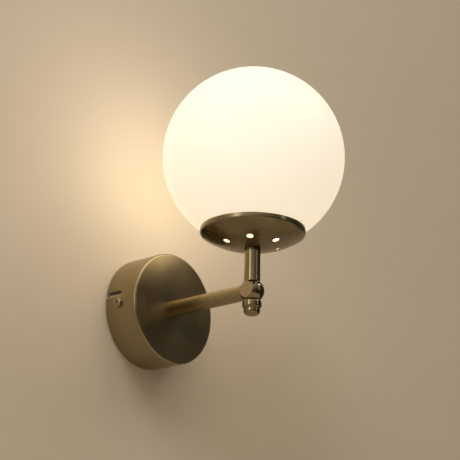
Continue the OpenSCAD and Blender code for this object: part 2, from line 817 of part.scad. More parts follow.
module stem_threaded_tube() {
    color([0.78, 0.76, 0.70])
    at_head() translate([0, 0, core_out]) tube(thread_d, thread_hole, stem_thread_top - core_out);
}

module stem_sleeve() {
    color([0.46, 0.42, 0.35])
    at_head() translate([0, 0, flat_out]) tube(tube_d, tube_bore, land_z - flat_out);
}

// Outline of half the bowl's outside, drawn in from it by inset
module bowl_outline(inset) {
    round_r = bowl_round - inset;
    round_x = rim_r - bowl_round;
    round_z = globe_z - sqrt(pow(bowl_r - bowl_round, 2) - pow(round_x, 2));
    intersection() {
        union() {
            intersection() {
                translate([0, globe_z]) circle(r = bowl_r - inset);
                polygon([[0, globe_z], [2 * round_x, 2 * round_z - globe_z], [0, 2 * round_z - globe_z]]);
            }
            translate([0, round_z]) square([rim_r - inset, rim_top - round_z + cut]);
            translate([round_x, round_z]) circle(r = round_r);
        }
        translate([0, land_z + inset]) square([rim_r, rim_top]);
    }
}

module fitter_bowl() {
    color([0.60, 0.55, 0.45])
    at_head() difference() {
        rotate_extrude() intersection() {
            difference() {
                bowl_outline(0);
                bowl_outline(bowl_wall);
            }
            square([rim_r, rim_top]);
        }
        cylinder(d = thread_bore, h = rim_top);
        translate([0, 0, globe_z]) for (k = [0 : vents - 1])
            rotate([0, 180 - asin(vent_pcd / 2 / bowl_r), vent_turn + k * 360 / vents])
                translate([0, 0, bowl_r / 2]) cylinder(d = vent_d, h = bowl_r, $fn = small_fn);
    }
}

module globe_gallery() {
    root_r = gallery_r - ridge_h;
    color([0.80, 0.80, 0.80])
    at_head() intersection() {
        translate([0, 0, globe_z]) sphere(r = bowl_inside_r);
        rotate_extrude() difference() {
            union() {
                translate([0, land_z]) square([root_r, gallery_top - land_z]);
                for (k = [0 : ridges - 1])
                    translate([root_r, gallery_top - ridge_w - k * ridge_pitch])
                        polygon([[-gallery_wall / 2, -ridge_w / 2], [0, -ridge_w / 2],
                                 [ridge_h, -ridge_w / 6], [ridge_h, ridge_w / 6],
                                 [0, ridge_w / 2], [-gallery_wall / 2, ridge_w / 2]]);
            }
            translate([0, land_z - cut]) square([root_r - gallery_wall, gallery_top - land_z + 2 * cut]);
        }
    }
}

module stem_nut() {
    color([0.83, 0.68, 0.38])
    at_head() translate([0, 0, stem_nut_z]) hex_nut();
}

module bowl_earth_tag() {
    color([0.83, 0.68, 0.38])
    at_head() translate([0, 0, bowl_tag_z]) rotate([0, 0, 90])
        earth_tag(washer_d, thread_bore, tail_y);
}

module holder_cap() {
    color([0.90, 0.89, 0.85])
    at_head() translate([0, 0, holder_z]) difference() {
        cylinder(r = holder_r, h = holder_cap_h);
        translate([0, 0, -cut]) cylinder(d = thread_bore, h = holder_cap_h);
        translate([0, 0, holder_floor]) cylinder(r = ledge_r, h = holder_cap_h);
        translate([0, 0, insulator_z - holder_z]) cylinder(r = holder_inside_r, h = holder_cap_h);
        translate([0, 0, earth_hole_z - holder_z]) rotate([-90, 0, 0])
            cylinder(d = lead_d + 1, h = holder_d, $fn = small_fn);
    }
}

module holder_insulator() {
    color([0.94, 0.93, 0.90])
    at_head() translate([0, 0, insulator_z])
        tube(2 * (holder_inside_r - insulator_gap), rivet_d + 2 * fit_clear, insulator_h);
}

module holder_terminals() {
    color([0.83, 0.68, 0.38])
    at_head() for (s = [-1, 1]) translate([s * holder_terminal_x, 0, holder_terminal_z]) difference() {
        translate([-holder_terminal_h / 2, -holder_terminal_h / 2, 0])
            cube([holder_terminal_h, holder_terminal_h, holder_terminal_h]);
        translate([0, 0, -cut]) cylinder(d = lead_d + 4 * fit_clear, h = cut + 3, $fn = small_fn);
    }
}

module contact_shell() {
    color([0.83, 0.68, 0.38])
    at_head() translate([0, 0, insulator_top]) difference() {
        union() {
            cylinder(d = shell_foot_d, h = shell_foot_t);
            cylinder(r = shell_r + shell_wall, h = shell_top - insulator_top);
        }
        translate([0, 0, -cut]) cylinder(r = shell_r, h = shell_top - insulator_top + 2 * cut);
    }
}

module spring_contact() {
    color([0.83, 0.68, 0.38])
    at_head() translate([0, 0, insulator_top]) {
        rotate([90, 0, 0]) linear_extrude(height = contact_w, center = true)
            polygon([[-contact_w / 2, 0], [contact_reach, 0], [contact_reach, contact_t],
                     [contact_reach - contact_slope, contact_h], [-tip_d / 2, contact_h],
                     [-tip_d / 2, contact_h - contact_t],
                     [contact_reach - contact_slope - contact_t, contact_h - contact_t],
                     [contact_reach - contact_t, contact_t], [-contact_w / 2, contact_t]]);
        translate([0, 0, -insulator_h])
            cylinder(d = rivet_d, h = insulator_h + contact_t / 2, $fn = small_fn);
    }
}

module holder_skirt() {
    color([0.90, 0.89, 0.85])
    at_head() translate([0, 0, skirt_z]) difference() {
        cylinder(r = holder_r, h = skirt_h);
        translate([0, 0, -cut])
            cylinder(r = holder_inside_r, h = insulator_top - skirt_z + insulator_gap + cut);
        cylinder(r = ledge_r, h = skirt_h - collar_h);
        cylinder(r = bulb_cap_d / 2 + collar_clear, h = skirt_h + cut);
    }
}

module stem_cable() {
    color([0.88, 0.87, 0.84])
    at_head() {
        translate([0, core_out, core_out]) rotate([0, 90, 0]) rotate([0, 0, -90])
            rotate_extrude(angle = 90) translate([core_out, 0]) circle(d = cable_d);
        translate([0, 0, core_out]) cylinder(d = cable_d, h = cable_top - core_out);
    }
}

module holder_live_lead() {
    color([0.42, 0.26, 0.15])
    at_head() lead(holder_live_route, [0, 1, 0], [0, 0, 1], [0, 0, 1]);
}

module holder_neutral_lead() {
    color([0.16, 0.34, 0.66])
    at_head() mirror([1, 0, 0]) lead(holder_live_route, [0, 1, 0], [0, 0, 1], [0, 0, 1]);
}

module holder_earth_lead() {
    color([0.45, 0.66, 0.18])
    at_head() lead(holder_earth_route, [1, 0, 0], [0, 0, 1], [0, 0, -1]);
}

module globe_gasket() {
    color([0.85, 0.84, 0.80])
    at_head() difference() {
        intersection() {
            translate([0, 0, globe_z]) sphere(r = bowl_inside_r - gasket_gap);
            translate([0, 0, land_z])
                tube(mouth_d + 2 * (gasket_inset + gasket_w), mouth_d + 2 * gasket_inset, globe_z - land_z);
        }
        translate([0, 0, globe_z]) sphere(r = globe_r + gasket_gap);
    }
}

module glass_globe() {
    color([0.98, 0.95, 0.88])
    at_head() rotate_extrude() difference() {
        translate([0, globe_z]) intersection() {
            circle(r = globe_r);
            translate([0, -globe_r]) square([globe_r, globe_d]);
        }
        translate([0, globe_z]) circle(r = globe_r - globe_wall);
        translate([0, globe_z - globe_r - cut]) square([mouth_r, globe_r]);
    }
}

// Thick neck inside the globe's mouth, of one glass with it
module globe_neck() {
    color([0.98, 0.95, 0.88])
    at_head() rotate_extrude() intersection() {
        translate([0, globe_z]) circle(r = globe_r - globe_wall);
        translate([mouth_r, mouth_z]) square([lip_wall, lip_z - mouth_z + lip_h]);
    }
}

module bulb_cap() {
    ridge_r = bulb_thread_depth;
    shell_len = bulb_foot_z - bulb_shell_z;
    turns = floor((shell_len - 2 * bulb_thread_pitch) / bulb_thread_pitch);
    color([0.78, 0.77, 0.74])
    at_head() translate([0, 0, bulb_shell_z]) rotate_extrude() {
        translate([bulb_core_r - bulb_cap_wall, 0]) square([bulb_cap_wall, shell_len]);
        for (k = [1 : turns]) translate([bulb_core_r, k * bulb_thread_pitch])
            circle(r = ridge_r, $fn = small_fn);
    }
}

module bulb_tip_insulator() {
    color([0.10, 0.10, 0.11])
    at_head() translate([0, 0, bulb_z + tip_h])
        cylinder(d1 = tip_d + 2 * tip_h, r2 = bulb_core_r, h = tip_insulator_h);
}

module bulb_tip() {
    color([0.70, 0.69, 0.66])
    at_head() translate([0, 0, bulb_z + tip_h]) rotate([180, 0, 0])
        rotate_extrude($fn = small_fn) bar_outline(tip_d / 2, tip_h, tip_h / 2);
}

module bulb_body() {
    inner_foot_r = bulb_foot_d / 2 - bulb_body_wall;
    color([0.93, 0.93, 0.91])
    at_head() translate([0, 0, bulb_foot_z]) difference() {
        cylinder(d1 = bulb_foot_d, r2 = bulb_split_r, h = bulb_body_len);
        translate([0, 0, bulb_body_wall])
            cylinder(r1 = inner_foot_r, r2 = board_seat_r - board_ledge,
                     h = bulb_body_len - bulb_body_wall);
        translate([0, 0, -cut]) cylinder(r = bulb_core_r - bulb_cap_wall, h = 2 * cut + bulb_body_wall);
        translate([0, 0, bulb_body_len - led_board_t]) cylinder(r = board_seat_r, h = led_board_t + cut);
    }
}

module bulb_dome() {
    color([0.97, 0.95, 0.90])
    at_head() intersection() {
        translate([0, 0, bulb_centre_z]) difference() {
            sphere(r = bulb_d / 2);
            sphere(r = bulb_d / 2 - dome_wall);
        }
        translate([0, 0, bulb_split_z]) cylinder(r = bulb_d, h = bulb_len);
    }
}

module led_board() {
    color([0.90, 0.90, 0.88])
    at_head() translate([0, 0, bulb_split_z - led_board_t])
        cylinder(r = board_seat_r - fit_clear, h = led_board_t);
}

module led_chips() {
    color([0.96, 0.84, 0.40])
    at_head() translate([0, 0, bulb_split_z]) for (k = [0 : led_count - 1])
        rotate([0, 0, k * 360 / led_count]) translate([led_pcd / 2 - led_size / 2, -led_size / 2, 0])
            cube([led_size, led_size, led_h]);
}

module driver_board() {
    color([0.20, 0.42, 0.26])
    at_head() translate([-driver_w / 2, -driver_t / 2, bulb_split_z - led_board_t - driver_len])
        cube([driver_w, driver_t, driver_len]);
}

module finial_ring() {
    color([0.46, 0.42, 0.35])
    at_head() translate([0, 0, -flat_out - swivel_gap]) rotate([180, 0, 0]) difference() {
        rotate_extrude() translate([0, ring_h / 2]) {
            bar_outline(ring_d / 2, ring_h / 2, ring_round);
            mirror([0, 1]) bar_outline(ring_d / 2, ring_h / 2, ring_round);
        }
        translate([0, 0, -cut]) cylinder(d = thread_bore, h = ring_h + 2 * cut);
    }
}

module finial_cap() {
    cap_z = flat_out + swivel_gap + ring_h;
    color([0.46, 0.42, 0.35])
    at_head() rotate([180, 0, 0]) difference() {
        union() {
            translate([0, 0, cap_z]) rotate_extrude() bar_outline(cap_d / 2, cap_h, cap_round);
            translate([0, 0, core_out]) cylinder(d = thread_d, h = cap_z + cap_h / 2 - core_out);
        }
        translate([0, 0, cap_z + cap_h - dimple_depth])
            cylinder(d = dimple_d, h = dimple_depth + cut, $fn = small_fn);
    }
}

wall_bracket();
side_screws();
canopy();
block_plate();
terminal_block();
terminal_inserts();
terminal_screws();
block_screw();
earth_screw();
canopy_earth_tag();
rear_threaded_tube();
canopy_washer();
canopy_nut();
arm_tube();
front_threaded_tube();
arm_cable();
live_lead();
neutral_lead();
earth_lead();
ball_coupling();
stem_threaded_tube();
stem_sleeve();
fitter_bowl();
globe_gallery();
stem_nut();
bowl_earth_tag();
holder_cap();
holder_insulator();
holder_terminals();
contact_shell();
spring_contact();
holder_skirt();
stem_cable();
holder_live_lead();
holder_neutral_lead();
holder_earth_lead();
globe_gasket();
glass_globe();
globe_neck();
bulb_cap();
bulb_tip_insulator();
bulb_tip();
bulb_body();
bulb_dome();
led_board();
led_chips();
driver_board();
finial_ring();
finial_cap();
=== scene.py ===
# %% [markdown]
# # A globe wall lamp
# This lesson dresses a packed wall lamp in Blender. The lamp has a round canopy on the wall, a straight
# arm, a ball coupling, a short stem, a spun bowl and an opal globe. The solid model already holds every
# piece at its true size and place, in metres: X runs along the wall, -Y comes out of it, and Z is up.

import json
import math

import bmesh
import bpy
from mathutils import Matrix, Vector


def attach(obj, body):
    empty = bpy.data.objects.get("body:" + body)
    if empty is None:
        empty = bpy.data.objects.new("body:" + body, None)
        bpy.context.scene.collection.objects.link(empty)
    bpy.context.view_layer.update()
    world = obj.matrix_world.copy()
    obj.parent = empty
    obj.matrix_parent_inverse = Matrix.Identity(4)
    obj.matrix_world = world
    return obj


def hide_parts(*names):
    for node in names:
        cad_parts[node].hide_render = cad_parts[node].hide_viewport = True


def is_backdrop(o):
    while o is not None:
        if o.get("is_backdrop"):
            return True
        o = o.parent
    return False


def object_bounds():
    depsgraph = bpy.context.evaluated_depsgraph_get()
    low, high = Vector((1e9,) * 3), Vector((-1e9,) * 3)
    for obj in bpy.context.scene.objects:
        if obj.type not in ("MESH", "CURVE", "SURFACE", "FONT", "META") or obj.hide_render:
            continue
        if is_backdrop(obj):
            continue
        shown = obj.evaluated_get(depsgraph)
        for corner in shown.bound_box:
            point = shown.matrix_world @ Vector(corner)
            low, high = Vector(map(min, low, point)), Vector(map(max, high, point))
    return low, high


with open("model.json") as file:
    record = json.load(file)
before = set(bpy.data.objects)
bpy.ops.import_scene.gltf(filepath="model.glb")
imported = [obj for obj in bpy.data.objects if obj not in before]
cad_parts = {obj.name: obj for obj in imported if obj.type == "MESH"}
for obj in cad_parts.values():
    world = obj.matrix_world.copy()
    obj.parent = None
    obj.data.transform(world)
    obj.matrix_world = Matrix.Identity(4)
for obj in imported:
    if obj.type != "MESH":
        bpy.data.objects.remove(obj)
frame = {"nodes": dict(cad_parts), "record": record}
nodes = frame["nodes"]
solid_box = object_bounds()

# %% [markdown]
# ## The camera
# The photograph is taken from below and from the left, so the underside of the bowl shows and the
# canopy stands almost in profile. The camera could be moved by eye until things line up. Here its place
# comes from a pinhole camera fitted to the outlines of the globe, the bowl, the canopy and the arm: a
# bearing, a tilt, a small roll, and a long lens that draws parallel edges almost parallel.

# %% Place the camera
BEARING, TILT, ROLL = math.radians(48.98), math.radians(19.11), math.radians(1.016)
LENS_PIXELS, FRAME_PIXELS, SENSOR = 1400.0, 460.0, 36.0
CAMERA_PLACE = Vector((-0.8216, -0.8087, -0.3205))

ahead = Vector((math.sin(BEARING) * math.cos(TILT), math.cos(BEARING) * math.cos(TILT), math.sin(TILT)))
level_right = Vector((math.cos(BEARING), -math.sin(BEARING), 0.0))
level_up = level_right.cross(ahead)
camera_right = level_right * math.cos(ROLL) + level_up * math.sin(ROLL)
camera_up = level_up * math.cos(ROLL) - level_right * math.sin(ROLL)

camera_data = bpy.data.cameras.new("camera")
camera_data.sensor_width = SENSOR
camera_data.lens = LENS_PIXELS * SENSOR / FRAME_PIXELS
camera_data.clip_start, camera_data.clip_end = 0.05, 20.0
camera = bpy.data.objects.new("camera", camera_data)
turn = Matrix((camera_right, camera_up, -ahead)).transposed().to_4x4()
camera.matrix_world = Matrix.Translation(CAMERA_PLACE) @ turn
bpy.context.scene.collection.objects.link(camera)
bpy.context.scene.camera = camera
print("lens: %.1f mm" % camera_data.lens)

# %% [markdown]
# ## The wall and the light
# A wall lamp hangs on a wall, so the backdrop is a pale wall that runs down in a soft curve to a pale
# floor. A plane alone would leave a hard line where wall meets floor. The wall shows from the room
# only: seen from behind it lets light and eye through, so the inside of the canopy can be looked at.

# %% Build the pale wall and floor
WALL_REACH, WALL_TOP, FLOOR_LEVEL, COVE_RADIUS = 1.7, 1.5, -1.15, 0.45
WALL_OPENING, WALL_FACE, FLOOR_REACH, COVE_STEPS = 0.043, 0.0006, -2.4, 16

# The line goes from the top down, round the cove, and out over the floor, as (y, z).
line = [(WALL_FACE, WALL_TOP), (WALL_FACE, FLOOR_LEVEL + COVE_RADIUS)]
for step in range(1, COVE_STEPS + 1):
    angle = math.pi / 2 * step / COVE_STEPS
    line.append((WALL_FACE - COVE_RADIUS * (1 - math.cos(angle)),
                 FLOOR_LEVEL + COVE_RADIUS * (1 - math.sin(angle))))
line.append((FLOOR_REACH, FLOOR_LEVEL))
backdrop_mesh = bpy.data.meshes.new("backdrop")
points = [(x, y, z) for y, z in line for x in (-WALL_REACH, WALL_REACH)]
quads = [(2 * i, 2 * i + 2, 2 * i + 3, 2 * i + 1) for i in range(len(line) - 1)]
backdrop_mesh.from_pydata(points, [], quads)
backdrop_mesh.shade_smooth()
backdrop = bpy.data.objects.new("backdrop", backdrop_mesh)
bpy.context.scene.collection.objects.link(backdrop)
backdrop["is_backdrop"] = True
print("backdrop faces:", len(quads))

# %% [markdown]
# Every finish here is a small tree of nodes, and the same few come back in all of them: a place on the
# piece, cloudy noise, a value stretched to another span, a colour ramp and a bump. Each could be written
# out in full where it stands. A helper for each keeps a finish short enough to read as a recipe.

# %% Write the nodes that come back


def new_material(name):
    """An empty node material, its tree and its output node."""
    material = bpy.data.materials.new(name)
    material.use_nodes = True
    material.node_tree.nodes.clear()
    out = material.node_tree.nodes.new("ShaderNodeOutputMaterial")
    return material, material.node_tree, out


def add(tree, kind, inputs=None, **settings):
    """Adds a node, sets its properties and its inputs, and links inputs that are sockets."""
    node = tree.nodes.new(kind)
    for key, value in settings.items():
        setattr(node, key, value)
    for key, value in (inputs or {}).items():
        if isinstance(value, bpy.types.NodeSocket):
            tree.links.new(value, node.inputs[key])
        else:
            node.inputs[key].default_value = value
    return node


def own_place(tree):
    """Where a point lies on its own piece, in metres."""
    return add(tree, "ShaderNodeTexCoord").outputs["Object"]


def noise(tree, place, scale, detail, roughness=0.5):
    return add(tree, "ShaderNodeTexNoise", {
        "Vector": place, "Scale": scale, "Detail": detail, "Roughness": roughness}).outputs["Fac"]


def calc(tree, operation, first, second):
    return add(tree, "ShaderNodeMath", {0: first, 1: second}, operation=operation).outputs[0]


def stretch_to(tree, value, span, wanted, **settings):
    """Maps the span (low, high) of a value to the wanted span."""
    return add(tree, "ShaderNodeMapRange", {
        "Value": value, "From Min": span[0], "From Max": span[1], "To Min": wanted[0], "To Max": wanted[1]},
        **settings).outputs["Result"]


def ramp(tree, value, stops):
    """A colour ramp with its stops given as (position, colour)."""
    node = add(tree, "ShaderNodeValToRGB", {"Fac": value})
    elements = node.color_ramp.elements
    while len(elements) < len(stops):
        elements.new(0.5)
    for element, (position, colour) in zip(elements, stops):
        element.position, element.color = position, (*colour, 1)
    return node.outputs["Color"]


def blend(tree, factor, first, second, **settings):
    return add(tree, "ShaderNodeMix", {"Factor": factor, 6: first, 7: second},
               data_type="RGBA", **settings).outputs[2]


def bump(tree, height, strength, distance, **under):
    """A normal that follows a height in metres, over another normal if one is given."""
    return add(tree, "ShaderNodeBump", {
        "Height": height, "Strength": strength, "Distance": distance, **under}).outputs["Normal"]


def skin(tree, out, inputs):
    """Makes a Principled shader with these inputs the surface of a material."""
    tree.links.new(add(tree, "ShaderNodeBsdfPrincipled", inputs).outputs["BSDF"], out.inputs["Surface"])


def shade(colour, factor):
    return tuple(channel * factor for channel in colour)


print("node tools ready")

# %% [markdown]
# Painted plaster is matt and almost even. A colour that drifts a little over a hand's width, and a fine
# roller texture in the bump, keep it from looking like paper. The shader lets rays pass when they come
# from behind, which the Backfacing output of the Geometry node tells. Behind the canopy it leaves a round
# opening, as a wall has there for the house wiring, so that light gets in from behind. The camera doesn't
# look through that opening, or the slots in the canopy's side would show daylight.

# %% Finish the wall


def wall_paint():
    """Matt paint on the room's side of the wall, clear from behind."""
    material, tree, out = new_material("wall_paint")
    place = own_place(tree)
    tint = ramp(tree, noise(tree, place, 3.0, 3.0), [
        (0.3, (0.700, 0.610, 0.485)), (0.7, (0.725, 0.636, 0.512))])
    roller = bump(tree, noise(tree, place, 420.0, 4.0), 0.12, 0.0006)
    paint = add(tree, "ShaderNodeBsdfPrincipled", {"Base Color": tint, "Roughness": 0.85, "Normal": roller})
    clear = add(tree, "ShaderNodeBsdfTransparent")
    behind = add(tree, "ShaderNodeNewGeometry").outputs["Backfacing"]
    seen = add(tree, "ShaderNodeLightPath").outputs["Is Camera Ray"]
    reach = add(tree, "ShaderNodeVectorMath", {0: place}, operation="LENGTH").outputs["Value"]
    opening = calc(tree, "SUBTRACT", calc(tree, "LESS_THAN", reach, WALL_OPENING), seen)
    both = add(tree, "ShaderNodeMixShader", {
        0: calc(tree, "MAXIMUM", behind, opening), 1: paint.outputs["BSDF"], 2: clear.outputs["BSDF"]})
    tree.links.new(both.outputs["Shader"], out.inputs["Surface"])
    return material


backdrop_mesh.materials.append(wall_paint())
print("wall paint nodes:", len(backdrop_mesh.materials[0].node_tree.nodes))

# %% [markdown]
# The light is plain and soft: a large panel high on the left, where the lit side of the lamp is, and a
# weaker one high in front. They stand high, so that the lamp's own shadow falls below it, as its globe
# would throw it. Metal needs something to mirror. The wide panel would only grey it, so metal doesn't
# see it. Two narrow cards draw the thin bright lines on the stem, and the world is bright above and to
# the left and dark below and to the right, which gives each tube a bright side and a dark side. One more
# panel stands behind the wall and only reaches the inside of the canopy.

# %% Hang the soft lights


def soft_panel(name, place, aim, size, power):
    """A warm area light of a width and a height, turned to face a point."""
    data = bpy.data.lights.new(name, "AREA")
    data.shape, data.size, data.size_y = "RECTANGLE", *size
    data.energy, data.color = power, (1.0, 0.95, 0.88)
    panel = bpy.data.objects.new(name, data)
    panel.location = place
    panel.rotation_euler = (Vector(aim) - Vector(place)).to_track_quat("-Z", "Y").to_euler()
    bpy.context.scene.collection.objects.link(panel)
    return panel


LAMP_MIDDLE = (0.0, -0.1, 0.06)
soft_panel("panel_left", (-1.05, -0.62, 1.20), LAMP_MIDDLE, (0.8, 0.8), 11.0).visible_glossy = False
soft_panel("panel_front", (0.75, -1.05, 1.40), LAMP_MIDDLE, (0.7, 0.7), 4.0)
soft_panel("card_left", (-1.35, -0.24, 0.42), LAMP_MIDDLE, (0.22, 1.0), 2.0)
soft_panel("card_front", (0.42, -1.40, 0.50), LAMP_MIDDLE, (0.07, 0.8), 0.5)
soft_panel("panel_behind", (-0.45, 0.95, 0.55), (0.0, 0.0, 0.0), (0.6, 0.6), 9.0)

world = bpy.data.worlds.new("room")
world.use_nodes = True
bpy.context.scene.world = world
sky_tree = world.node_tree
sky_tree.nodes.clear()
sky_out = sky_tree.nodes.new("ShaderNodeOutputWorld")
toward_window = add(sky_tree, "ShaderNodeVectorMath", {
    0: add(sky_tree, "ShaderNodeTexCoord").outputs["Generated"], 1: (-0.50, 0.30, 0.81)},
    operation="DOT_PRODUCT").outputs["Value"]
level = stretch_to(sky_tree, toward_window, (-0.35, 0.95), (0.0, 1.0), interpolation_type="SMOOTHSTEP")
sky = ramp(sky_tree, level, [(0.0, (0.060, 0.050, 0.038)), (1.0, (0.80, 0.72, 0.60))])
glow = add(sky_tree, "ShaderNodeBackground", {"Color": sky, "Strength": 1.0})
sky_tree.links.new(glow.outputs["Background"], sky_out.inputs["Surface"])
bpy.context.scene.view_settings.view_transform = "Standard"

# %% [markdown]
# ## Tools for turned pieces
# Nearly every piece of this lamp is turned or spun, so one helper does most of the work: it takes half
# of a section, as radius and height, rounds its corners, and sweeps it round an axis. A Screw modifier
# could do the sweep too. Plain mesh code keeps each corner's radius in view and always gives the same
# points, so it is used here. Sizes are written in millimetres, as on a maker's drawing. Beside each arc
# goes one more point on the straight, so that the smooth shading of the arc doesn't leak into the flat.

# %% Round the corners of a section
MM = 0.001
BALL_REACH, FLAT = 118.5, 7.6


def rounded(corners, fine):
    """Closed outline from (radius, height, corner radius) points, each corner an arc of fine steps."""
    outline = []
    count = len(corners)
    for i, (r, h, fillet) in enumerate(corners):
        here = Vector((r, h))
        before = Vector(corners[i - 1][:2]) - here
        after = Vector(corners[(i + 1) % count][:2]) - here
        if fillet <= 0:
            outline.append((r, h))
            continue
        u, v = before.normalized(), after.normalized()
        half = math.acos(max(-1.0, min(1.0, u.dot(v)))) / 2
        setback = fillet / math.tan(half)
        centre = here + (u + v).normalized() * (fillet / math.sin(half))
        first, last = here + u * setback - centre, here + v * setback - centre
        start = math.atan2(first.y, first.x)
        sweep = (math.atan2(last.y, last.x) - start + math.pi) % (2 * math.pi) - math.pi
        hold = min(0.15, before.length * 0.05, after.length * 0.05)
        outline.append(tuple(here + u * (setback + hold)))
        for k in range(fine + 1):
            angle = start + sweep * k / fine
            outline.append((centre.x + fillet * math.cos(angle), centre.y + fillet * math.sin(angle)))
        outline.append(tuple(here + v * (setback + hold)))
    return outline


def arc(radius, centre, start, end, steps):
    """Section points on a circle, angles in degrees from straight down towards the outside."""
    points = []
    for k in range(steps + 1):
        angle = math.radians(start + (end - start) * k / steps)
        points.append((centre[0] + radius * math.sin(angle), centre[1] - radius * math.cos(angle), 0))
    return points


print("corner arc points:", len(rounded([(0, 0, 0), (4, 0, 1), (4, 4, 0), (0, 4, 0)], 5)))

# %% Sweep a section round an axis


def on_stem(r, angle, h):
    """A point at a radius, an angle and a height on the stem's axis, in metres."""
    return (r * math.cos(angle) * MM, (r * math.sin(angle) - BALL_REACH) * MM, h * MM)


def on_arm(r, angle, h):
    """A point at a radius, an angle and a distance from the wall on the arm's axis, in metres."""
    return (r * math.cos(angle) * MM, -h * MM, r * math.sin(angle) * MM)


def put(name, mesh):
    piece = bpy.data.objects.new(name, mesh)
    bpy.context.scene.collection.objects.link(piece)
    return piece


def smooth(mesh, angle=32):
    mesh.shade_smooth()
    mesh.set_sharp_from_angle(angle=math.radians(angle))


def closed(mesh):
    """Joins doubled points and turns every face outwards."""
    work = bmesh.new()
    work.from_mesh(mesh)
    bmesh.ops.remove_doubles(work, verts=work.verts, dist=1e-8)
    bmesh.ops.recalc_face_normals(work, faces=work.faces)
    work.to_mesh(mesh)
    work.free()
    return mesh


def turned(name, section, place=on_stem, around=128, shape=None, fine=5):
    """A section, rounded and swept once round its axis, with its radius altered by shape(r, angle, h)."""
    mesh_points, rings = [], []
    for r, h in rounded(section, fine):
        if abs(r) < 1e-6:
            rings.append([len(mesh_points)] * around)
            mesh_points.append(place(0.0, 0.0, h))
        else:
            first = len(mesh_points)
            rings.append(list(range(first, first + around)))
            for k in range(around):
                angle = 2 * math.pi * k / around
                mesh_points.append(place(shape(r, angle, h) if shape else r, angle, h))
    faces = []
    for a, b in zip(rings, rings[1:] + rings[:1]):
        for k in range(around):
            n = (k + 1) % around
            corners = []
            for v in (a[k], a[n], b[n], b[k]):
                if v not in corners:
                    corners.append(v)
            if len(corners) > 2:
                faces.append(corners)
    mesh = bpy.data.meshes.new(name)
    mesh.from_pydata(mesh_points, [], faces)
    smooth(closed(mesh))
    return put(name, mesh)


print("turning tools ready")

# %% [markdown]
# Slots, flats and vents are cut with the Boolean modifier, and the sharp edges that it leaves get a
# small Bevel, since no real edge is sharp and a worn one catches the light. A Weighted Normal modifier
# then keeps large flats flat beside their small bevels. All are applied at once, so the piece is plain
# mesh afterwards and nothing is left to compute in the poses.

# %% Cut and ease


def settle(piece):
    """Replaces a piece's mesh by the result of its modifiers."""
    graph = bpy.context.evaluated_depsgraph_get()
    mesh = bpy.data.meshes.new_from_object(piece.evaluated_get(graph))
    old = piece.data
    piece.modifiers.clear()
    piece.data = mesh
    bpy.data.meshes.remove(old)


def cut(piece, tool, how="DIFFERENCE"):
    knife = piece.modifiers.new("cut", "BOOLEAN")
    knife.operation, knife.solver, knife.object = how, "EXACT", tool
    settle(piece)
    bpy.data.objects.remove(tool)


def ease_edges(piece, width, angle=35, segments=2):
    """Bevels every edge sharper than an angle and keeps the flats flat."""
    bevel = piece.modifiers.new("ease", "BEVEL")
    bevel.width, bevel.segments = width * MM, segments
    bevel.limit_method, bevel.angle_limit = "ANGLE", math.radians(angle)
    settle(piece)
    smooth(piece.data, 40)
    piece.modifiers.new("weigh", "WEIGHTED_NORMAL").keep_sharp = True
    settle(piece)


def between(name, first, last):
    """A cutter that spans two loops of as many points."""
    count = len(first)
    faces = [list(range(count)), list(range(2 * count - 1, count - 1, -1))]
    faces += [[k, (k + 1) % count, count + (k + 1) % count, count + k] for k in range(count)]
    mesh = bpy.data.meshes.new(name)
    mesh.from_pydata(first + last, [], faces)
    return put(name, closed(mesh))


def prism(name, loop, near, far, at, turn):
    """A cutter about the arm's axis: a loop of (arc length, height) that is true at radius at."""
    return between(name, *([on_arm(r, length / at + turn, h) for length, h in loop] for r in (near, far)))


def rod(name, start, end, radius, around=48):
    """A cutter: a round rod between two points in millimetres."""
    start, end = Vector(start), Vector(end)
    side = (end - start).orthogonal().normalized()
    other = (end - start).normalized().cross(side)
    turns = [2 * math.pi * k / around for k in range(around)]
    return between(name, *([
        (middle + side * radius * math.cos(turn) + other * radius * math.sin(turn)) * MM
        for turn in turns] for middle in (start, end)))


def worked(node, change):
    """A copy of a solid's mesh with its doubled points joined, after a change made with bmesh."""
    mesh = nodes[node].data.copy()
    mesh.materials.clear()
    work = bmesh.new()
    work.from_mesh(mesh)
    bmesh.ops.remove_doubles(work, verts=work.verts, dist=1e-7)
    change(work)
    work.to_mesh(mesh)
    work.free()
    return mesh


def join_flats(work):
    bmesh.ops.dissolve_limit(work, angle_limit=math.radians(1), verts=work.verts, edges=work.edges)


def copy_of(node, name, width):
    """A copy of a solid with its flat faces joined and its edges eased."""
    mesh = worked(node, join_flats)
    mesh.validate()
    piece = put(name, closed(mesh))
    ease_edges(piece, width)
    return piece


def stands_for(piece, body, slot, *names, finish=None):
    """The piece takes its slot's finish, rides on a body and hides the solids that it stands for."""
    piece.data.materials.append(finish or FINISH[slot])
    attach(piece, body)
    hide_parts(*names)
    print(piece.name, "has", len(piece.data.polygons), "faces")


print("cutting tools ready")

# %% [markdown]
# ## Metal with a turned grain
# The canopy, the arm, the stem and the bowl are steel tube and sheet, plated in a warm bronze nickel and
# finished on the lathe. So their grain runs in rings round their own axis, not in straight lines. The
# rings could be a texture on unwrapped UVs. It is simpler, and has no seam, to work out the distance
# from the axis and the height along it inside the material and let noise vary with those two alone.

# %% Coordinates that run in rings


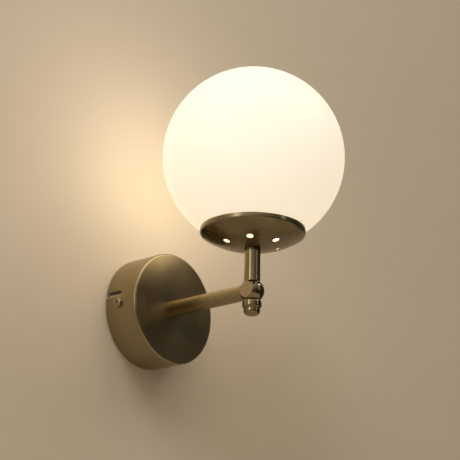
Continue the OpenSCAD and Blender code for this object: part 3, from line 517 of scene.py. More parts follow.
def ring_place(tree, axis, centre):
    """Radius, height along the axis and a trace of the angle, as a texture vector."""
    place = own_place(tree)
    moved = add(tree, "ShaderNodeVectorMath", {0: place, 1: centre}, operation="SUBTRACT").outputs[0]
    part = add(tree, "ShaderNodeSeparateXYZ", {0: moved}).outputs
    first, second, along = {"Y": ("X", "Z", "Y"), "Z": ("X", "Y", "Z")}[axis]
    flat = add(tree, "ShaderNodeCombineXYZ", {"X": part[first], "Y": part[second]}).outputs[0]
    radius = add(tree, "ShaderNodeVectorMath", {0: flat}, operation="LENGTH").outputs["Value"]
    trace = calc(tree, "MULTIPLY", calc(tree, "ARCTAN2", part[second], part[first]), 0.0003)
    return add(tree, "ShaderNodeCombineXYZ", {"X": radius, "Y": part[along], "Z": trace}).outputs[0]


def edge_wear_and_highlight(tree, width, most=1.0):
    """How near a point lies to an edge, from 0 to most: a rounded normal against the plain one."""
    eased = add(tree, "ShaderNodeBevel", {"Radius": width}, samples=6).outputs["Normal"]
    plain = add(tree, "ShaderNodeNewGeometry").outputs["Normal"]
    agree = add(tree, "ShaderNodeVectorMath", {0: eased, 1: plain}, operation="DOT_PRODUCT").outputs["Value"]
    return stretch_to(tree, agree, (0.985, 0.88), (0.0, most))


print("ring coordinates ready")

# %% [markdown]
# The finish has five layers: the plated colour, which drifts a little where hands have touched it; fine
# rings in the colour, the roughness and the bump; an even satin grain over them; a thin paler band along
# the edges, partly wear and partly a painted highlight for the light a rounded edge catches; and a gloss
# that can be stretched across the rings. The edge band could follow the Pointiness output, but that is
# one value per mesh point and smears over long faces. A Bevel node finds the edge anywhere.

# %% Mix the turned metal
STEM_CENTRE = on_stem(0, 0, 0)


def turned_metal(name, colour, roughness, axis, centre, stretch=0.0, relief=1e-6, satin=2e-6):
    """Plated metal with rings round an axis; relief and satin are bump depths in metres."""
    material, tree, out = new_material(name)
    place = own_place(tree)
    touch = noise(tree, place, 34.0, 5.0, 0.6)
    fine = noise(tree, ring_place(tree, axis, centre), 2600.0, 2.0)
    blast = noise(tree, place, 3800.0, 2.0)
    plated = ramp(tree, touch, [(0.32, shade(colour, 0.86)), (0.5, colour), (0.7, shade(colour, 1.08))])
    grooves = ramp(tree, fine, [(0.3, (0.98, 0.98, 0.98)), (0.7, (1.0, 1.0, 1.0))])
    lined = blend(tree, 1.0, plated, grooves, blend_type="MULTIPLY")
    # Paler edges: partly wear, partly a painted highlight where a rounded edge catches the light.
    worn_and_highlit = blend(tree, edge_wear_and_highlight(tree, 0.0005), lined, (*shade(colour, 1.35), 1))
    dull = stretch_to(tree, fine, (0.3, 0.7), (roughness * 0.95, roughness * 1.05))
    smear = stretch_to(tree, touch, (0.35, 0.65), (-0.03, 0.04))
    lathe = bump(tree, fine, 0.5, relief)
    across = add(tree, "ShaderNodeTangent", direction_type="RADIAL", axis=axis)
    skin(tree, out, {
        "Base Color": worn_and_highlit, "Metallic": 1.0, "Roughness": calc(tree, "ADD", dull, smear),
        "Anisotropic": stretch, "Anisotropic Rotation": 0.25, "Tangent": across.outputs["Tangent"],
        "Normal": bump(tree, blast, 0.5, satin, Normal=lathe)})
    return material


BRONZE_NICKEL = (0.335, 0.276, 0.165)
POLISHED = (0.285, 0.230, 0.135)
canopy_finish = turned_metal("canopy_satin", BRONZE_NICKEL, 0.33, "Y", (0, 0, 0), relief=8e-8)
arm_finish = turned_metal("arm_satin", BRONZE_NICKEL, 0.26, "Y", (0, 0, 0), relief=4e-7)
# The bowl wears the same plating darkened to 0.78, a painted shade for its underside, which lies in shadow.
shaded_bowl_finish = turned_metal("bowl_satin", shade(BRONZE_NICKEL, 0.78), 0.27, "Z", STEM_CENTRE, stretch=0.35)
stem_finish = turned_metal("stem_polish", POLISHED, 0.13, "Z", STEM_CENTRE, satin=5e-7)
print("turned metals:", canopy_finish.name, arm_finish.name, shaded_bowl_finish.name, stem_finish.name)

# %% [markdown]
# ## Small metal, plastic, rubber and ceramic
# Screws, nuts and tags are pressed or cut from bar, so their grain has no direction: a cloudy noise in
# the colour and roughness does for zinc, nickel and brass alike. Moulded plastic has a soft, almost
# invisible ripple, rubber a dull bloom, and glazed ceramic a clear coat. One recipe makes each family,
# and each finish is kept under the slot that the record gives the pieces that wear it.

# %% Mix the plain metals


def pressed_metal(name, colour, roughness):
    material, tree, out = new_material(name)
    place = own_place(tree)
    cloud = noise(tree, place, 220.0, 6.0)
    spangle = add(tree, "ShaderNodeTexVoronoi", {"Vector": place, "Scale": 660.0}).outputs["Distance"]
    tint = ramp(tree, cloud, [(0.3, shade(colour, 0.78)), (0.55, colour), (0.75, shade(colour, 1.1))])
    skin(tree, out, {
        # Paler edges: partly wear, partly a painted highlight where a rounded edge catches the light.
        "Base Color": blend(tree, edge_wear_and_highlight(tree, 0.0003, 0.8), tint, (*shade(colour, 1.3), 1)),
        "Roughness": stretch_to(tree, cloud, (0.3, 0.7), (roughness * 0.8, roughness * 1.25)),
        "Metallic": 1.0, "Normal": bump(tree, spangle, 0.15, 0.00003)})
    return material


FINISH = {"satin_metal": shaded_bowl_finish, "glossy_metal": stem_finish}
for slot, name, *recipe in (
        ("zinc_steel", "yellow_zinc", (0.50, 0.45, 0.33), 0.38),
        ("screw_steel", "nickel_screw", (0.44, 0.38, 0.27), 0.24),
        ("tube_steel", "nickel_thread", (0.52, 0.51, 0.48), 0.30),
        ("brass", "pressed_brass", (0.72, 0.53, 0.24), 0.28),
        ("gallery_aluminium", "turned_aluminium", (0.80, 0.80, 0.79), 0.48),
        ("bulb_cap_metal", "tinned_cap", (0.66, 0.65, 0.62), 0.27)):
    FINISH[slot] = pressed_metal(name, *recipe)
print("metal finishes:", sorted(FINISH))

# %% Mix the plastics, the rubber and the ceramic


def moulded(name, colour, roughness, coat=0.0, bloom=0.05):
    """Plastic, rubber or glaze: bloom is how far the colour drifts, coat the weight of a clear layer."""
    material, tree, out = new_material(name)
    place = own_place(tree)
    dust = noise(tree, place, 2240.0, 3.0)
    tint = ramp(tree, noise(tree, place, 160.0, 5.0), [
        (0.3, shade(colour, 1 - bloom * 2)), (0.5, colour), (0.7, shade(colour, 1 + bloom))])
    skin(tree, out, {
        "Base Color": tint, "Coat Weight": coat, "Coat Roughness": 0.08,
        "Roughness": stretch_to(tree, dust, (0.3, 0.7), (roughness * 0.85, min(1.0, roughness * 1.15))),
        "Normal": bump(tree, dust, 0.2, 0.00004)})
    return material


for slot, name, *recipe in (
        ("block_plastic", "block_plastic", (0.80, 0.78, 0.72), 0.48),
        ("holder_plastic", "holder_plastic", (0.82, 0.80, 0.74), 0.30),
        ("ceramic", "glazed_ceramic", (0.85, 0.83, 0.78), 0.35, 0.7),
        ("cable_sheath", "cable_sheath", (0.72, 0.71, 0.68), 0.55),
        ("live_core", "brown_core", (0.115, 0.045, 0.020), 0.42),
        ("neutral_core", "blue_core", (0.020, 0.085, 0.340), 0.42),
        ("gasket_rubber", "gasket_rubber", (0.62, 0.60, 0.56), 0.75, 0.0, 0.1),
        ("black_insulator", "black_glass", (0.012, 0.012, 0.014), 0.16, 0.5),
        ("bulb_plastic", "bulb_plastic", (0.80, 0.80, 0.78), 0.33),
        ("white_board", "white_solder_mask", (0.80, 0.80, 0.77), 0.32),
        ("green_board", "green_solder_mask", (0.015, 0.130, 0.050), 0.30, 0.0, 0.2)):
    FINISH[slot] = moulded(name, *recipe)
print("metal and moulded finishes:", len(FINISH))

# %% [markdown]
# The earth core is green with a yellow stripe, the one lead that must never be mistaken. The stripe
# could be painted on unwrapped UVs. Here a wave texture runs across the lead in object space, so the
# bands turn with it and need no unwrapping.

# %% Stripe the earth core


def striped_core(name):
    material, tree, out = new_material(name)
    place = own_place(tree)
    bands = add(tree, "ShaderNodeTexWave", {"Vector": place, "Scale": 110.0, "Distortion": 0.0},
                wave_type="BANDS", bands_direction="DIAGONAL").outputs["Fac"]
    skin(tree, out, {
        "Base Color": ramp(tree, bands, [(0.60, (0.045, 0.230, 0.030)), (0.66, (0.780, 0.560, 0.030))]),
        "Roughness": 0.42, "Normal": bump(tree, noise(tree, place, 1800.0, 3.0), 0.2, 0.00003)})
    return material


FINISH["earth_core"] = striped_core("green_yellow_core")
print("striped:", FINISH["earth_core"].name)

# %% [markdown]
# ## Glass that is lit from inside
# Opal glass is milky all through, so it glows evenly when the bulb is on and hides the bulb itself.
# Real scattering through the glass would be slow and grainy. A cream emission does the same job with no
# noise. Its centre sits off the globe's middle, to the upper front left, so the glow is whiter there, a
# painted highlight on the side that faces the large light, and a little yellower away from it, towards
# the pole and the mouth. Under it lies a glossy glass skin, so the globe still looks like glass from
# every side.

# %% Mix the opal glass and the light parts


def lit_glass(name, colour, near, far, strength, centre, reach, roughness, gloss):
    """Milky glass whose glow fades from near to far over a distance from a centre."""
    material, tree, out = new_material(name)
    place = own_place(tree)
    away = add(tree, "ShaderNodeVectorMath", {0: place, 1: centre}, operation="DISTANCE").outputs["Value"]
    drift = stretch_to(tree, noise(tree, place, 16.0, 3.0), (0.0, 1.0), (-0.006, 0.006))
    uneven = calc(tree, "ADD", away, drift)
    fade = stretch_to(tree, uneven, reach, (0.0, 1.0), interpolation_type="SMOOTHSTEP")
    skin(tree, out, {
        "Base Color": (*colour, 1), "Roughness": roughness, "IOR": 1.5, "Specular IOR Level": gloss,
        "Emission Color": ramp(tree, fade, [(0.0, near), (1.0, far)]), "Emission Strength": strength,
        "Normal": bump(tree, noise(tree, place, 60.0, 2.0), 0.05, 0.0002)})
    return material


GLOBE_HEIGHT, GLOBE_R = 114.7, 75.0
# The glow's centre lies off the globe's middle, to the upper front left: a painted highlight on the side
# facing the large light.
FINISH["opal_glass"] = lit_glass(
    "opal_glass", (0.44, 0.41, 0.36), (1.0, 0.890, 0.720), (1.0, 0.845, 0.600), 0.79,
    (-0.03, -0.150, 0.135), (0.045, 0.125), 0.42, 0.25)
inside_finish = lit_glass(
    "opal_inside", (0.70, 0.67, 0.60), (1.0, 0.93, 0.78), (1.0, 0.90, 0.72), 2.2,
    on_stem(0, 0, 115), (0.03, 0.09), 0.45, 0.2)
FINISH["bulb_diffuser"] = lit_glass(
    "bulb_diffuser", (0.70, 0.68, 0.62), (1.0, 0.93, 0.80), (1.0, 0.90, 0.74), 1.6,
    on_stem(0, 0, 125), (0.01, 0.04), 0.35, 0.3)
FINISH["light_chip"] = lit_glass(
    "light_chip", (0.85, 0.62, 0.12), (1.0, 0.85, 0.5), (1.0, 0.8, 0.4), 1.0,
    on_stem(0, 0, 112), (0.0, 0.02), 0.3, 0.3)
print("finishes by slot:", len(FINISH))

# %% [markdown]
# ## The canopy
# The canopy is a cup of 1 mm sheet, spun over a former, that hides the bracket and the wires. Its front
# edge is a small radius, not a corner, and that radius is the thin bright line seen in the photograph.
# Two slots in its side hook over two screws: they could be drawn as part of the section's sweep only
# with many extra points, so they are cut afterwards, with rounded corners as a punch leaves them.

# %% Spin the canopy and punch its slots
CANOPY_R, CANOPY_FRONT, RIM_GAP, SHEET = 47.0, 34.0, 0.3, 1.0
TUBE_HOLE = 4.05
BRACKET_TURN = math.radians(2.8)
SLOT_W, SLOT_TOP, SLOT_TURN = 4.9, 17.45, math.radians(10)

canopy_cup = turned("canopy_cup", [
    (CANOPY_R, RIM_GAP, 0.3), (CANOPY_R, CANOPY_FRONT, 1.8), (TUBE_HOLE, CANOPY_FRONT, 0.2),
    (TUBE_HOLE, CANOPY_FRONT - SHEET, 0.2), (CANOPY_R - SHEET, CANOPY_FRONT - SHEET, 0.8),
    (CANOPY_R - SHEET, RIM_GAP, 0.3)], on_arm, 192)
way_out = -SLOT_TURN * CANOPY_R
slot_loop = rounded([
    (way_out - SLOT_W / 2, -2, 0), (way_out + SLOT_W / 2, -2, 0),
    (way_out + SLOT_W / 2, SLOT_TOP - SLOT_W, 0.8), (SLOT_W / 2, SLOT_TOP - SLOT_W, 2.2),
    (SLOT_W / 2, SLOT_TOP, 2.2), (way_out - SLOT_W / 2, SLOT_TOP, 1.8)], 6)
for side in (0.0, math.pi):
    cut(canopy_cup, prism("slot_punch", slot_loop, 43.0, 50.0, CANOPY_R, BRACKET_TURN + side))
ease_edges(canopy_cup, 0.12, 50)
stands_for(canopy_cup, "lamp", "satin_metal", "canopy", finish=canopy_finish)

# %% [markdown]
# ## The arm and its threaded tubes
# The arm is plain tube with its ends turned square and a hair of the edge broken. It is clamped over
# thin threaded tube, the kind that every lamp maker buys by the metre. The thread could be a bump in the
# material, but its outline shows where it stands out of the nut, so it is real: a grid wound round the
# axis whose radius rises and falls once per turn.

# %% Turn the arm
ARM_R, ARM_BORE, ARM_END, SOCKET = 6.5, 5.0, BALL_REACH - FLAT - 0.1, 12.0
arm = turned("arm", [
    (ARM_R, CANOPY_FRONT, 0.12), (ARM_R, ARM_END, 0.3), (TUBE_HOLE, ARM_END, 0.2),
    (TUBE_HOLE, ARM_END - SOCKET, 0), (ARM_BORE, ARM_END - SOCKET, 0), (ARM_BORE, CANOPY_FRONT + SOCKET, 0),
    (TUBE_HOLE, CANOPY_FRONT + SOCKET, 0), (TUBE_HOLE, CANOPY_FRONT, 0.1)], on_arm)
stands_for(arm, "lamp", "satin_metal", "arm_tube", finish=arm_finish)

# %% Cut the threads


def rows(r, low, high, step):
    """Evenly spaced points up a straight side, for a shape to work on."""
    count = math.ceil(abs(high - low) / step)
    return [(r, low + (high - low) * k / count, 0) for k in range(count + 1)]


def wound(crest, depth, pitch, low, high, fullness=1.15):
    """A shape that turns the rows at the crest radius into a thread that runs out at both ends."""
    def shape(r, angle, h):
        if abs(r - crest) > 1e-4 or not low <= h <= high:
            return r
        fade = min(1.0, (h - low) / (0.6 * pitch), (high - h) / (0.6 * pitch))
        phase = (h / pitch - angle / (2 * math.pi)) % 1.0
        rise = max(0.0, min(1.0, (1 - abs(phase - 0.5) * 2.3) * fullness))
        return crest - depth * (1 - (rise * rise * (3 - 2 * rise)) * fade)
    return shape


THREAD_R, THREAD_BORE, THREAD_PITCH, THREAD_DEPTH = 4.0, 2.8, 1.0, 0.5
for name, low, high, place, body, node in (
        ("rear_thread", 26.0, 44.0, on_arm, "lamp", "rear_threaded_tube"),
        ("front_thread", 100.8, 114.4, on_arm, "lamp", "front_threaded_tube"),
        ("stem_thread", 4.1, 47.32, on_stem, "head", "stem_threaded_tube")):
    tube = turned(name, rows(THREAD_R, low, high, 0.17) + [(THREAD_BORE, high, 0.1), (THREAD_BORE, low, 0.1)],
                  place, 40, wound(THREAD_R, THREAD_DEPTH, THREAD_PITCH, low, high), 2)
    stands_for(tube, body, "tube_steel", node)

# %% [markdown]
# ## The ball, the stem and the finial
# The coupling is a turned ball with a flat milled wherever a tube meets it, each flat just as wide as
# the tube. The flat on the left shows in the photograph as a dull disc on a polished ball, so the flats
# keep a milled finish while the ball is buffed. A ball with flats could be modelled face by face; a
# sphere cut down to a block gives the same edges the milling cutter does.

# %% Mill the ball
ball = turned("ball", arc(10.0, (0, 0), 0, 180, 64))
front, back = -BALL_REACH - 11, -BALL_REACH + FLAT
block = bpy.data.meshes.new("mill")
block.from_pydata(
    [Vector((x, y, z)) * MM for x in (-FLAT, FLAT) for y in (front, back) for z in (-FLAT, FLAT)], [],
    [[0, 1, 3, 2], [4, 6, 7, 5], [0, 4, 5, 1], [2, 3, 7, 6], [0, 2, 6, 4], [1, 5, 7, 3]])
cut(ball, put("mill", closed(block)), "INTERSECT")
cut(ball, rod("stem_bore", (0, -BALL_REACH, -11), (0, -BALL_REACH, 11), TUBE_HOLE))
cut(ball, rod("arm_bore", (0, -BALL_REACH, 0), (0, -BALL_REACH + 11, 0), TUBE_HOLE))
ease_edges(ball, 0.22, 25, 3)
print("ball faces:", len(ball.data.polygons))

# %% Finish the ball in two ways


def milled_or_buffed(name, colour):
    """Polished metal whose faces square to X, Y or Z keep a dull milled finish."""
    material = turned_metal(name, colour, 0.10, "Z", STEM_CENTRE, satin=3e-7)
    tree = material.node_tree
    shell = next(n for n in tree.nodes if n.type == "BSDF_PRINCIPLED")
    normal = add(tree, "ShaderNodeTexCoord").outputs["Normal"]
    facing = add(tree, "ShaderNodeVectorMath", {0: normal}, operation="ABSOLUTE").outputs[0]
    part = add(tree, "ShaderNodeSeparateXYZ", {0: facing}).outputs
    most = calc(tree, "MAXIMUM", part["X"], calc(tree, "MAXIMUM", part["Y"], part["Z"]))
    flat = stretch_to(tree, most, (0.9994, 0.9999), (0.0, 1.0))
    peck = noise(tree, own_place(tree), 900.0, 5.0)
    dull = stretch_to(tree, peck, (0.3, 0.7), (0.42, 0.58))
    pale = ramp(tree, peck, [(0.3, (0.42, 0.335, 0.200)), (0.7, (0.50, 0.400, 0.240))])
    old_rough, old_colour = (shell.inputs[key].links[0].from_socket for key in ("Roughness", "Base Color"))
    rough = add(tree, "ShaderNodeMix", {"Factor": flat, "A": old_rough, "B": dull}).outputs["Result"]
    tree.links.new(rough, shell.inputs["Roughness"])
    tree.links.new(blend(tree, flat, old_colour, pale), shell.inputs["Base Color"])
    return material


stands_for(ball, "head", "glossy_metal", "ball_coupling", finish=milled_or_buffed("ball_buffed", POLISHED))

# %% [markdown]
# The stem is a short sleeve over the threaded tube, buffed bright. Below the ball a round ring and a
# domed cap close the coupling; the cap has a small dimple where the lathe's centre held it.

# %% Turn the stem, the ring and the cap
BOWL_FOOT, RING_TOP, RING_FOOT, CAP_FOOT = 35.57, -7.7, -14.8, -20.2
stem = turned("stem", [
    (ARM_R, FLAT, 0.25), (ARM_R, BOWL_FOOT, 0.2), (ARM_BORE, BOWL_FOOT, 0.1), (ARM_BORE, FLAT, 0.1)])
stands_for(stem, "head", "glossy_metal", "stem_sleeve")

ring_finish = turned_metal("ring_polish", POLISHED, 0.12, "Z", STEM_CENTRE, satin=5e-7)
finial_ring = turned("finial_bead", [
    (7.8, RING_TOP, 2.3), (TUBE_HOLE, RING_TOP, 0.1), (TUBE_HOLE, RING_FOOT, 0.1), (7.8, RING_FOOT, 2.3)],
    fine=10)
stands_for(finial_ring, "finial", "glossy_metal", "finial_ring", finish=ring_finish)

finial_cap = turned("finial_button", [
    (0, -4.1, 0), (4.0, -4.1, 0.4), (4.0, RING_FOOT, 0), (6.6, RING_FOOT, 0.2), (6.6, CAP_FOOT, 3.4),
    (0.8, CAP_FOOT, 0.15), (0.8, CAP_FOOT + 0.6, 0.1), (0, CAP_FOOT + 0.8, 0)], fine=12)
stands_for(finial_cap, "finial", "glossy_metal", "finial_cap", finish=ring_finish)

# %% [markdown]
# ## The spun bowl
# The bowl is spun from one disc: a flat land at the middle, a long shallow curve, and a rim turned up
# round the globe. Spinning leaves rings in the surface and an edge that is trimmed and rolled smooth.
# The six air vents are punched square to the curve, so each cutter here points at the curve's centre.

# %% Spin the bowl
BOWL_R, RIM_R, RIM_TOP = 79.53, 43.0, 52.0
TURN_R, TURN_H, TURN_OUT = 40.5, 49.18, 2.5
VENTS, VENT_R, VENT_CIRCLE, FIRST_VENT = 6, 2.75, 23.0, 34.5

turn_start = math.degrees(math.atan2(TURN_R, GLOBE_HEIGHT - TURN_H))
bowl_section = [(TUBE_HOLE, BOWL_FOOT, 0)]
bowl_section += arc(BOWL_R, (0, GLOBE_HEIGHT), 5.77, turn_start, 40)
bowl_section += arc(TURN_OUT, (TURN_R, TURN_H), turn_start, 90, 8)[1:]
bowl_section += [(RIM_R, RIM_TOP - 1.5, 0), (RIM_R, RIM_TOP, 0.4)]
bowl_section += [(RIM_R - SHEET, RIM_TOP, 0.4), (RIM_R - SHEET, RIM_TOP - 1.5, 0)]
bowl_section += arc(TURN_OUT - SHEET, (TURN_R, TURN_H), 90, turn_start, 6)
bowl_section += arc(BOWL_R - SHEET, (0, GLOBE_HEIGHT), turn_start, 5.79, 40)[1:]
bowl_section += [(TUBE_HOLE, BOWL_FOOT + SHEET, 0)]
bowl = turned("spun_bowl", bowl_section, around=192, fine=4)

vent_tilt = math.asin(VENT_CIRCLE / BOWL_R)
middle = Vector((0, -BALL_REACH, GLOBE_HEIGHT))
for k in range(VENTS):
    bearing = math.radians(FIRST_VENT + 360 / VENTS * k)
    out = Vector((math.sin(vent_tilt) * math.cos(bearing), math.sin(vent_tilt) * math.sin(bearing),
                  -math.cos(vent_tilt)))
    cut(bowl, rod("vent_punch", middle + out * 74, middle + out * 84, VENT_R))
ease_edges(bowl, 0.18, 50)
stands_for(bowl, "head", "satin_metal", "fitter_bowl")

# %% [markdown]
# ## The ring that holds the globe
# Inside the bowl stands a ring of aluminium with three turns of rolled thread. The globe's neck screws
# down over it onto a rubber gasket. The ridges are rolled, so they are round, not sharp.

# %% Turn the threaded ring
CREST_R, WALL_R, THREAD_LOW, THREAD_HIGH, GALLERY_TOP = 32.6, 31.7, 49.0, 59.2, 59.35
gallery_foot = GLOBE_HEIGHT - math.sqrt((BOWL_R - SHEET) ** 2 - WALL_R ** 2) + 0.05
gallery_section = [(30.5, GALLERY_TOP, 0.3), (30.5, gallery_foot, 0), (WALL_R, gallery_foot, 0)]
gallery_section += rows(CREST_R, THREAD_LOW, THREAD_HIGH, 0.2) + [(WALL_R, GALLERY_TOP, 0)]
ridges = wound(CREST_R, CREST_R - WALL_R, 3.2, THREAD_LOW, THREAD_HIGH)
globe_ring = turned("globe_ring", gallery_section, on_stem, 144, ridges, 3)
stands_for(globe_ring, "head", "gallery_aluminium", "globe_gallery")

# %% [markdown]
# ## The opal globe
# The globe is blown glass, 150 mm across and 2.5 mm thick, with its mouth turned in to a thick neck.
# Blown glass has no sharp edge anywhere: the neck's rims are fire-polished round. The inside is
# modelled as well, since it shows when the globe is lifted off.

# %% Blow the globe
GLASS, INSIDE, MOUTH_R, MOUTH_LOW, NECK_TOP = 2.5, 1.2, 33.0, 47.35, 60.06
mouth_turn = math.degrees(math.asin(33.6 / GLOBE_R))
neck_turn = math.degrees(math.asin(38.0 / (GLOBE_R - GLASS)))
globe_section = arc(GLOBE_R, (0, GLOBE_HEIGHT), mouth_turn, 180, 72)
globe_section += arc(GLOBE_R - GLASS, (0, GLOBE_HEIGHT), 180, neck_turn, 64)
globe_section += [(36.5, 52.4, 0.8), (36.5, NECK_TOP, 1.5)]
globe_section += [(MOUTH_R, NECK_TOP, 1.5), (MOUTH_R, MOUTH_LOW, 0.35)]
globe = turned("opal_globe", globe_section, around=160, fine=6)
stands_for(globe, "globe", "opal_glass", "glass_globe", "globe_neck")

globe.data.materials.append(inside_finish)
globe_middle = middle * MM
for face in globe.data.polygons:
    if (face.center - globe_middle).length < (GLOBE_R - INSIDE) * MM:
        face.material_index = 1
print("faces inside the globe:", sum(face.material_index for face in globe.data.polygons))

# %% [markdown]
# A lit globe also lights its wall, its arm and its canopy. The glass can't be made brighter than white
# for that, since white is where a picture ends. So a round lamp a hair larger than the globe adds the
# light: it shines on everything but the globe itself, and it isn't seen as a thing of its own. It is
# tied to the globe, so the light goes along when the globe is lifted.

# %% Let the globe light the room


def round_lamp(name, piece, middle, radius, power, colour):
    """A lamp just round a lit piece, that moves with it and lights everything but that piece."""
    data = bpy.data.lights.new(name, "POINT")
    data.energy, data.shadow_soft_size, data.color = power, radius * MM, colour
    data.use_soft_falloff = False
    lamp = bpy.data.objects.new(name, data)
    lamp.location = middle
    lamp.visible_camera = False
    lamp.parent = piece
    bpy.context.scene.collection.objects.link(lamp)
    left_out = bpy.data.collections.new("not_lit_by_" + name)
    left_out.objects.link(piece)
    left_out.collection_objects[0].light_linking.link_state = "EXCLUDE"
    lamp.light_linking.receiver_collection = left_out
    print(name + ":", round(power, 2), "W")


round_lamp("globe_glow", globe, globe_middle, GLOBE_R + 0.7, 0.34, (1.0, 0.84, 0.62))

# %% [markdown]
# ## The lamp holder
# The holder is a two-part moulding for a small screw cap. The lower cap has fine grips for the fingers,
# and the skirt above has the coarse outside thread that a shade ring would use. Both are shapes laid on
# the turned section, like the threads before.

# %% Mould the holder
GRIPS, HOLDER_R, GRIP_LOW, GRIP_HIGH = 40, 14.0, 46.0, 58.0
CAP_LOW, SPLIT, SKIRT_TOP, EARTH_HOLE = 40.37, 62.37, 84.37, 51.37


def grips(r, angle, h):
    """Shallow flutes round the holder's cap."""
    if abs(r - HOLDER_R) > 1e-4 or not GRIP_LOW <= h <= GRIP_HIGH:
        return r
    fade = min(1.0, (h - GRIP_LOW) / 0.8, (GRIP_HIGH - h) / 0.8)
    return r - 0.28 * fade * (0.5 - 0.5 * math.cos(GRIPS * angle)) ** 2


cap_section = [(TUBE_HOLE, CAP_LOW, 0.2), (12.6, CAP_LOW, 0.5), (HOLDER_R, 42.2, 0.8)]
cap_section += rows(HOLDER_R, 43.0, 61.5, 0.4) + [(HOLDER_R, SPLIT, 0.2), (12.4, SPLIT, 0)]
cap_section += [(12.4, SPLIT - 3, 0), (11.0, SPLIT - 3, 0)]
cap_section += [(11.0, CAP_LOW + 7, 0.5), (TUBE_HOLE, CAP_LOW + 7, 0.2)]
holder_base = turned("holder_base", cap_section, on_stem, 240, grips, 3)
cut(holder_base, rod("earth_hole", (0, -BALL_REACH + 8, EARTH_HOLE), (0, -BALL_REACH + 18, EARTH_HOLE), 1.45))
stands_for(holder_base, "head", "holder_plastic", "holder_cap")

skirt_section = [(12.4, 65.4, 0), (12.4, SPLIT, 0), (HOLDER_R, SPLIT, 0.2)]
skirt_section += rows(HOLDER_R, 64.0, 82.4, 0.3) + [(HOLDER_R, SKIRT_TOP, 0.6), (8.25, SKIRT_TOP, 0.4)]
skirt_section += [(8.25, 81.77, 0.3), (11.0, 81.77, 0.3), (11.0, 65.4, 0)]
skirt = turned("holder_collar", skirt_section, on_stem, 144, wound(HOLDER_R, 0.55, 2.5, 64.0, 82.4, 1.8), 3)
stands_for(skirt, "head", "holder_plastic", "holder_skirt")

shell_section = [(7.25, 65.37, 0), (10.5, 65.37, 0.15), (10.5, 65.97, 0.15), (7.75, 65.97, 0.3)]
shell_section += rows(7.75, 66.8, 80.9, 0.4) + [(7.75, 81.37, 0.1), (7.25, 81.37, 0.1)]
shell = turned("shell", shell_section + rows(7.25, 80.9, 66.8, 0.4), on_stem, 72, fine=2)
stands_for(shell, "head", "brass", "contact_shell")

# %% [markdown]
# ## The bulb
# The bulb is a small LED bulb with a screw cap. Its thread is rolled into thin tinned brass, so crest
# and root are equally round. The body is a plastic cone over the driver, and the dome diffuses the
# light. The dome glows in the same warm white that shows through the vents of the bowl.

# %% Build the bulb
CREST, SHELL_R, SHELL_HOLE, CONE_FOOT, CONE_TOP = 6.95, 6.45, 5.95, 84.77, 111.57
SHELL_FOOT, TIP_TOP, TIP_FOOT = 70.97, 68.57, 67.57
DOME_R, DOME_HEIGHT = 22.5, 123.07
dome_start = math.degrees(math.acos((DOME_HEIGHT - CONE_TOP) / DOME_R))
# This shape only takes hold of points at the crest's radius, so it can go to every piece.
cap_thread = wound(CREST, CREST - SHELL_R, 2.8, 71.6, 83.4, 1.0)

for name, around, fine, slot, node, section in (
        ("bulb_shell", 96, 2, "bulb_cap_metal", "bulb_cap",
         [(SHELL_HOLE, SHELL_FOOT, 0), (SHELL_R, SHELL_FOOT, 0.2), (SHELL_R, 71.55, 0)]
         + rows(CREST, 71.6, 83.4, 0.2)
         + [(SHELL_R, 83.5, 0), (SHELL_R, CONE_FOOT, 0), (SHELL_HOLE, CONE_FOOT, 0)]),
        ("bulb_black", 64, 3, "black_insulator", "bulb_tip_insulator",
         [(0, TIP_TOP, 0), (3.4, TIP_TOP, 0.3), (6.35, 70.9, 0.2),
          (6.35, SHELL_FOOT, 0), (0, SHELL_FOOT, 0)]),
        ("bulb_pip", 48, 5, "bulb_cap_metal", "bulb_tip",
         [(0, TIP_FOOT, 0), (2.4, TIP_FOOT, 0.7), (2.4, TIP_TOP, 0), (0, TIP_TOP, 0)]),
        ("bulb_cone", 128, 5, "bulb_plastic", "bulb_body",
         [(SHELL_HOLE, CONE_FOOT, 0), (8.5, CONE_FOOT, 0.9), (19.34, CONE_TOP, 0.3), (18.14, CONE_TOP, 0.2),
          (7.4, CONE_FOOT + 1.2, 0.3), (SHELL_HOLE, CONE_FOOT + 1.2, 0)]),
        ("bulb_diffuser", 128, 5, "bulb_diffuser", "bulb_dome",
         arc(DOME_R, (0, DOME_HEIGHT), dome_start, 180, 40)
         + arc(DOME_R - 1, (0, DOME_HEIGHT), 180, dome_start - 1.6, 36))):
    piece = turned(name, section, on_stem, around, cap_thread, fine)
    stands_for(piece, "bulb", slot, node)
dome = piece

# %% [markdown]
# The dome's glow alone would leave the neck and the bowl's floor dim, and then the vents wouldn't shine.
# So the bulb has a round lamp as well, a hair larger than its dome, that lights the inside of the globe.
# The globe's own mesh keeps that light in until it is lifted off.

# %% Switch the bulb on
round_lamp("bulb_light", dome, on_stem(0, 0, DOME_HEIGHT), DOME_R + 0.3, 0.30, (1.0, 0.88, 0.70))

# %% [markdown]
# ## Nuts, screws and pressed pieces
# A nut is cut from hexagon bar and its corners are turned off at 30 degrees, so it is the solid's
# hexagon crossed with a turned blank. The bracket, plates, tags, screws and the terminal block keep the
# solid's own shape, with flats joined up and edges eased by the amount each process leaves: more on
# moulded plastic and bent strap, less on a small brass clamp.

# %% Chamfer the nuts
NUT_THICK = 3.0
for node, name, low, place, body in (
        ("canopy_nut", "rear_hexagon", 27.5, on_arm, "lamp"),
        ("stem_nut", "bowl_hexagon", BOWL_FOOT + SHEET, on_stem, "head")):
    nut = copy_of(node, name, 0.08)
    high = low + NUT_THICK
    cut(nut, turned("blank", [
        (0, low - 0.01, 0), (6.5, low - 0.01, 0), (7.6, low + 0.62, 0),
        (7.6, high - 0.62, 0), (6.5, high + 0.01, 0), (0, high + 0.01, 0)], place, 96), "INTERSECT")
    smooth(nut.data, 25)
    nut.data.materials.clear()
    stands_for(nut, body, "brass", node)

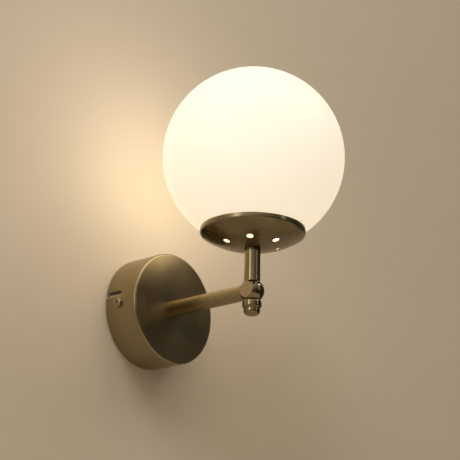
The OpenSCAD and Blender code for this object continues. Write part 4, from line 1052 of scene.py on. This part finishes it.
# %% Ease the pressed and moulded pieces
for node, name, width, body, slot in (
        ("wall_bracket", "strap", 0.25, "base", "zinc_steel"),
        ("side_screws", "pan_screws", 0.14, "base", "screw_steel"),
        ("block_plate", "earth_plate", 0.15, "lamp", "zinc_steel"),
        ("terminal_block", "connector", 0.35, "lamp", "block_plastic"),
        ("terminal_inserts", "clamps", 0.10, "lamp", "brass"),
        ("terminal_screws", "clamp_screws", 0.10, "lamp", "screw_steel"),
        ("block_screw", "block_bolt", 0.12, "lamp", "screw_steel"),
        ("earth_screw", "earth_bolt", 0.14, "lamp", "screw_steel"),
        ("canopy_washer", "washer", 0.12, "lamp", "tube_steel"),
        ("canopy_earth_tag", "canopy_tag", 0.08, "lamp", "brass"),
        ("bowl_earth_tag", "bowl_tag", 0.08, "head", "brass"),
        ("holder_terminals", "holder_clamps", 0.20, "head", "brass"),
        ("spring_contact", "contact_spring", 0.08, "head", "brass")):
    stands_for(copy_of(node, name, width), body, slot, node)

# %% [markdown]
# ## Wires
# Single cores are soft and round. The solid keeps them plain, as an eight-sided tube along the route,
# so subdividing a copy gives the round, flowing lead and keeps the route exactly. Subdividing pulls the
# tube in by a tenth, so the points are first pushed out by as much.

# %% Round the leads


def plump(work):
    """Joins the triangles of a lead to quads and pushes its points out."""
    bmesh.ops.join_triangles(work, faces=work.faces, angle_face_threshold=1.0, angle_shape_threshold=3.0)
    work.normal_update()
    for vertex in work.verts:
        vertex.co += vertex.normal * 0.0001


for node, name, body, slot in (
        ("live_lead", "brown_wire", "lamp", "live_core"),
        ("neutral_lead", "blue_wire", "lamp", "neutral_core"),
        ("earth_lead", "earth_wire", "lamp", "earth_core"),
        ("holder_live_lead", "holder_brown", "head", "live_core"),
        ("holder_neutral_lead", "holder_blue", "head", "neutral_core"),
        ("holder_earth_lead", "holder_earth", "head", "earth_core")):
    wire = put(name, worked(node, plump))
    wire.data.shade_smooth()
    wire.modifiers.new("round", "SUBSURF").levels = 2
    settle(wire)
    stands_for(wire, body, slot, node)

# %% [markdown]
# ## The solids that stay
# A few solids are already right, such as the cable's sheath, the gasket and the boards sealed inside the
# bulb. They keep their own mesh and only take a finish, chosen by the slot that the record gives them.

# %% Finish the solids that stay
for part in frame["record"]["subparts"]:
    solid = nodes[part["node"]]
    for place in solid.material_slots:
        place.material = FINISH[part["material_slot"]]

# %% [markdown]
# ## Sizes and finish
# The dressed lamp has to keep the solid model's size. Both boxes are printed, so they can be compared.

# %% Measure the sizes
dressed_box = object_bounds()


def plain(box):
    return [[round(value, 6) for value in corner] for corner in box]


{"solid": plain(solid_box), "dressed": plain(dressed_box)}
print("solid box:", plain(solid_box))
print("dressed box:", plain(dressed_box))
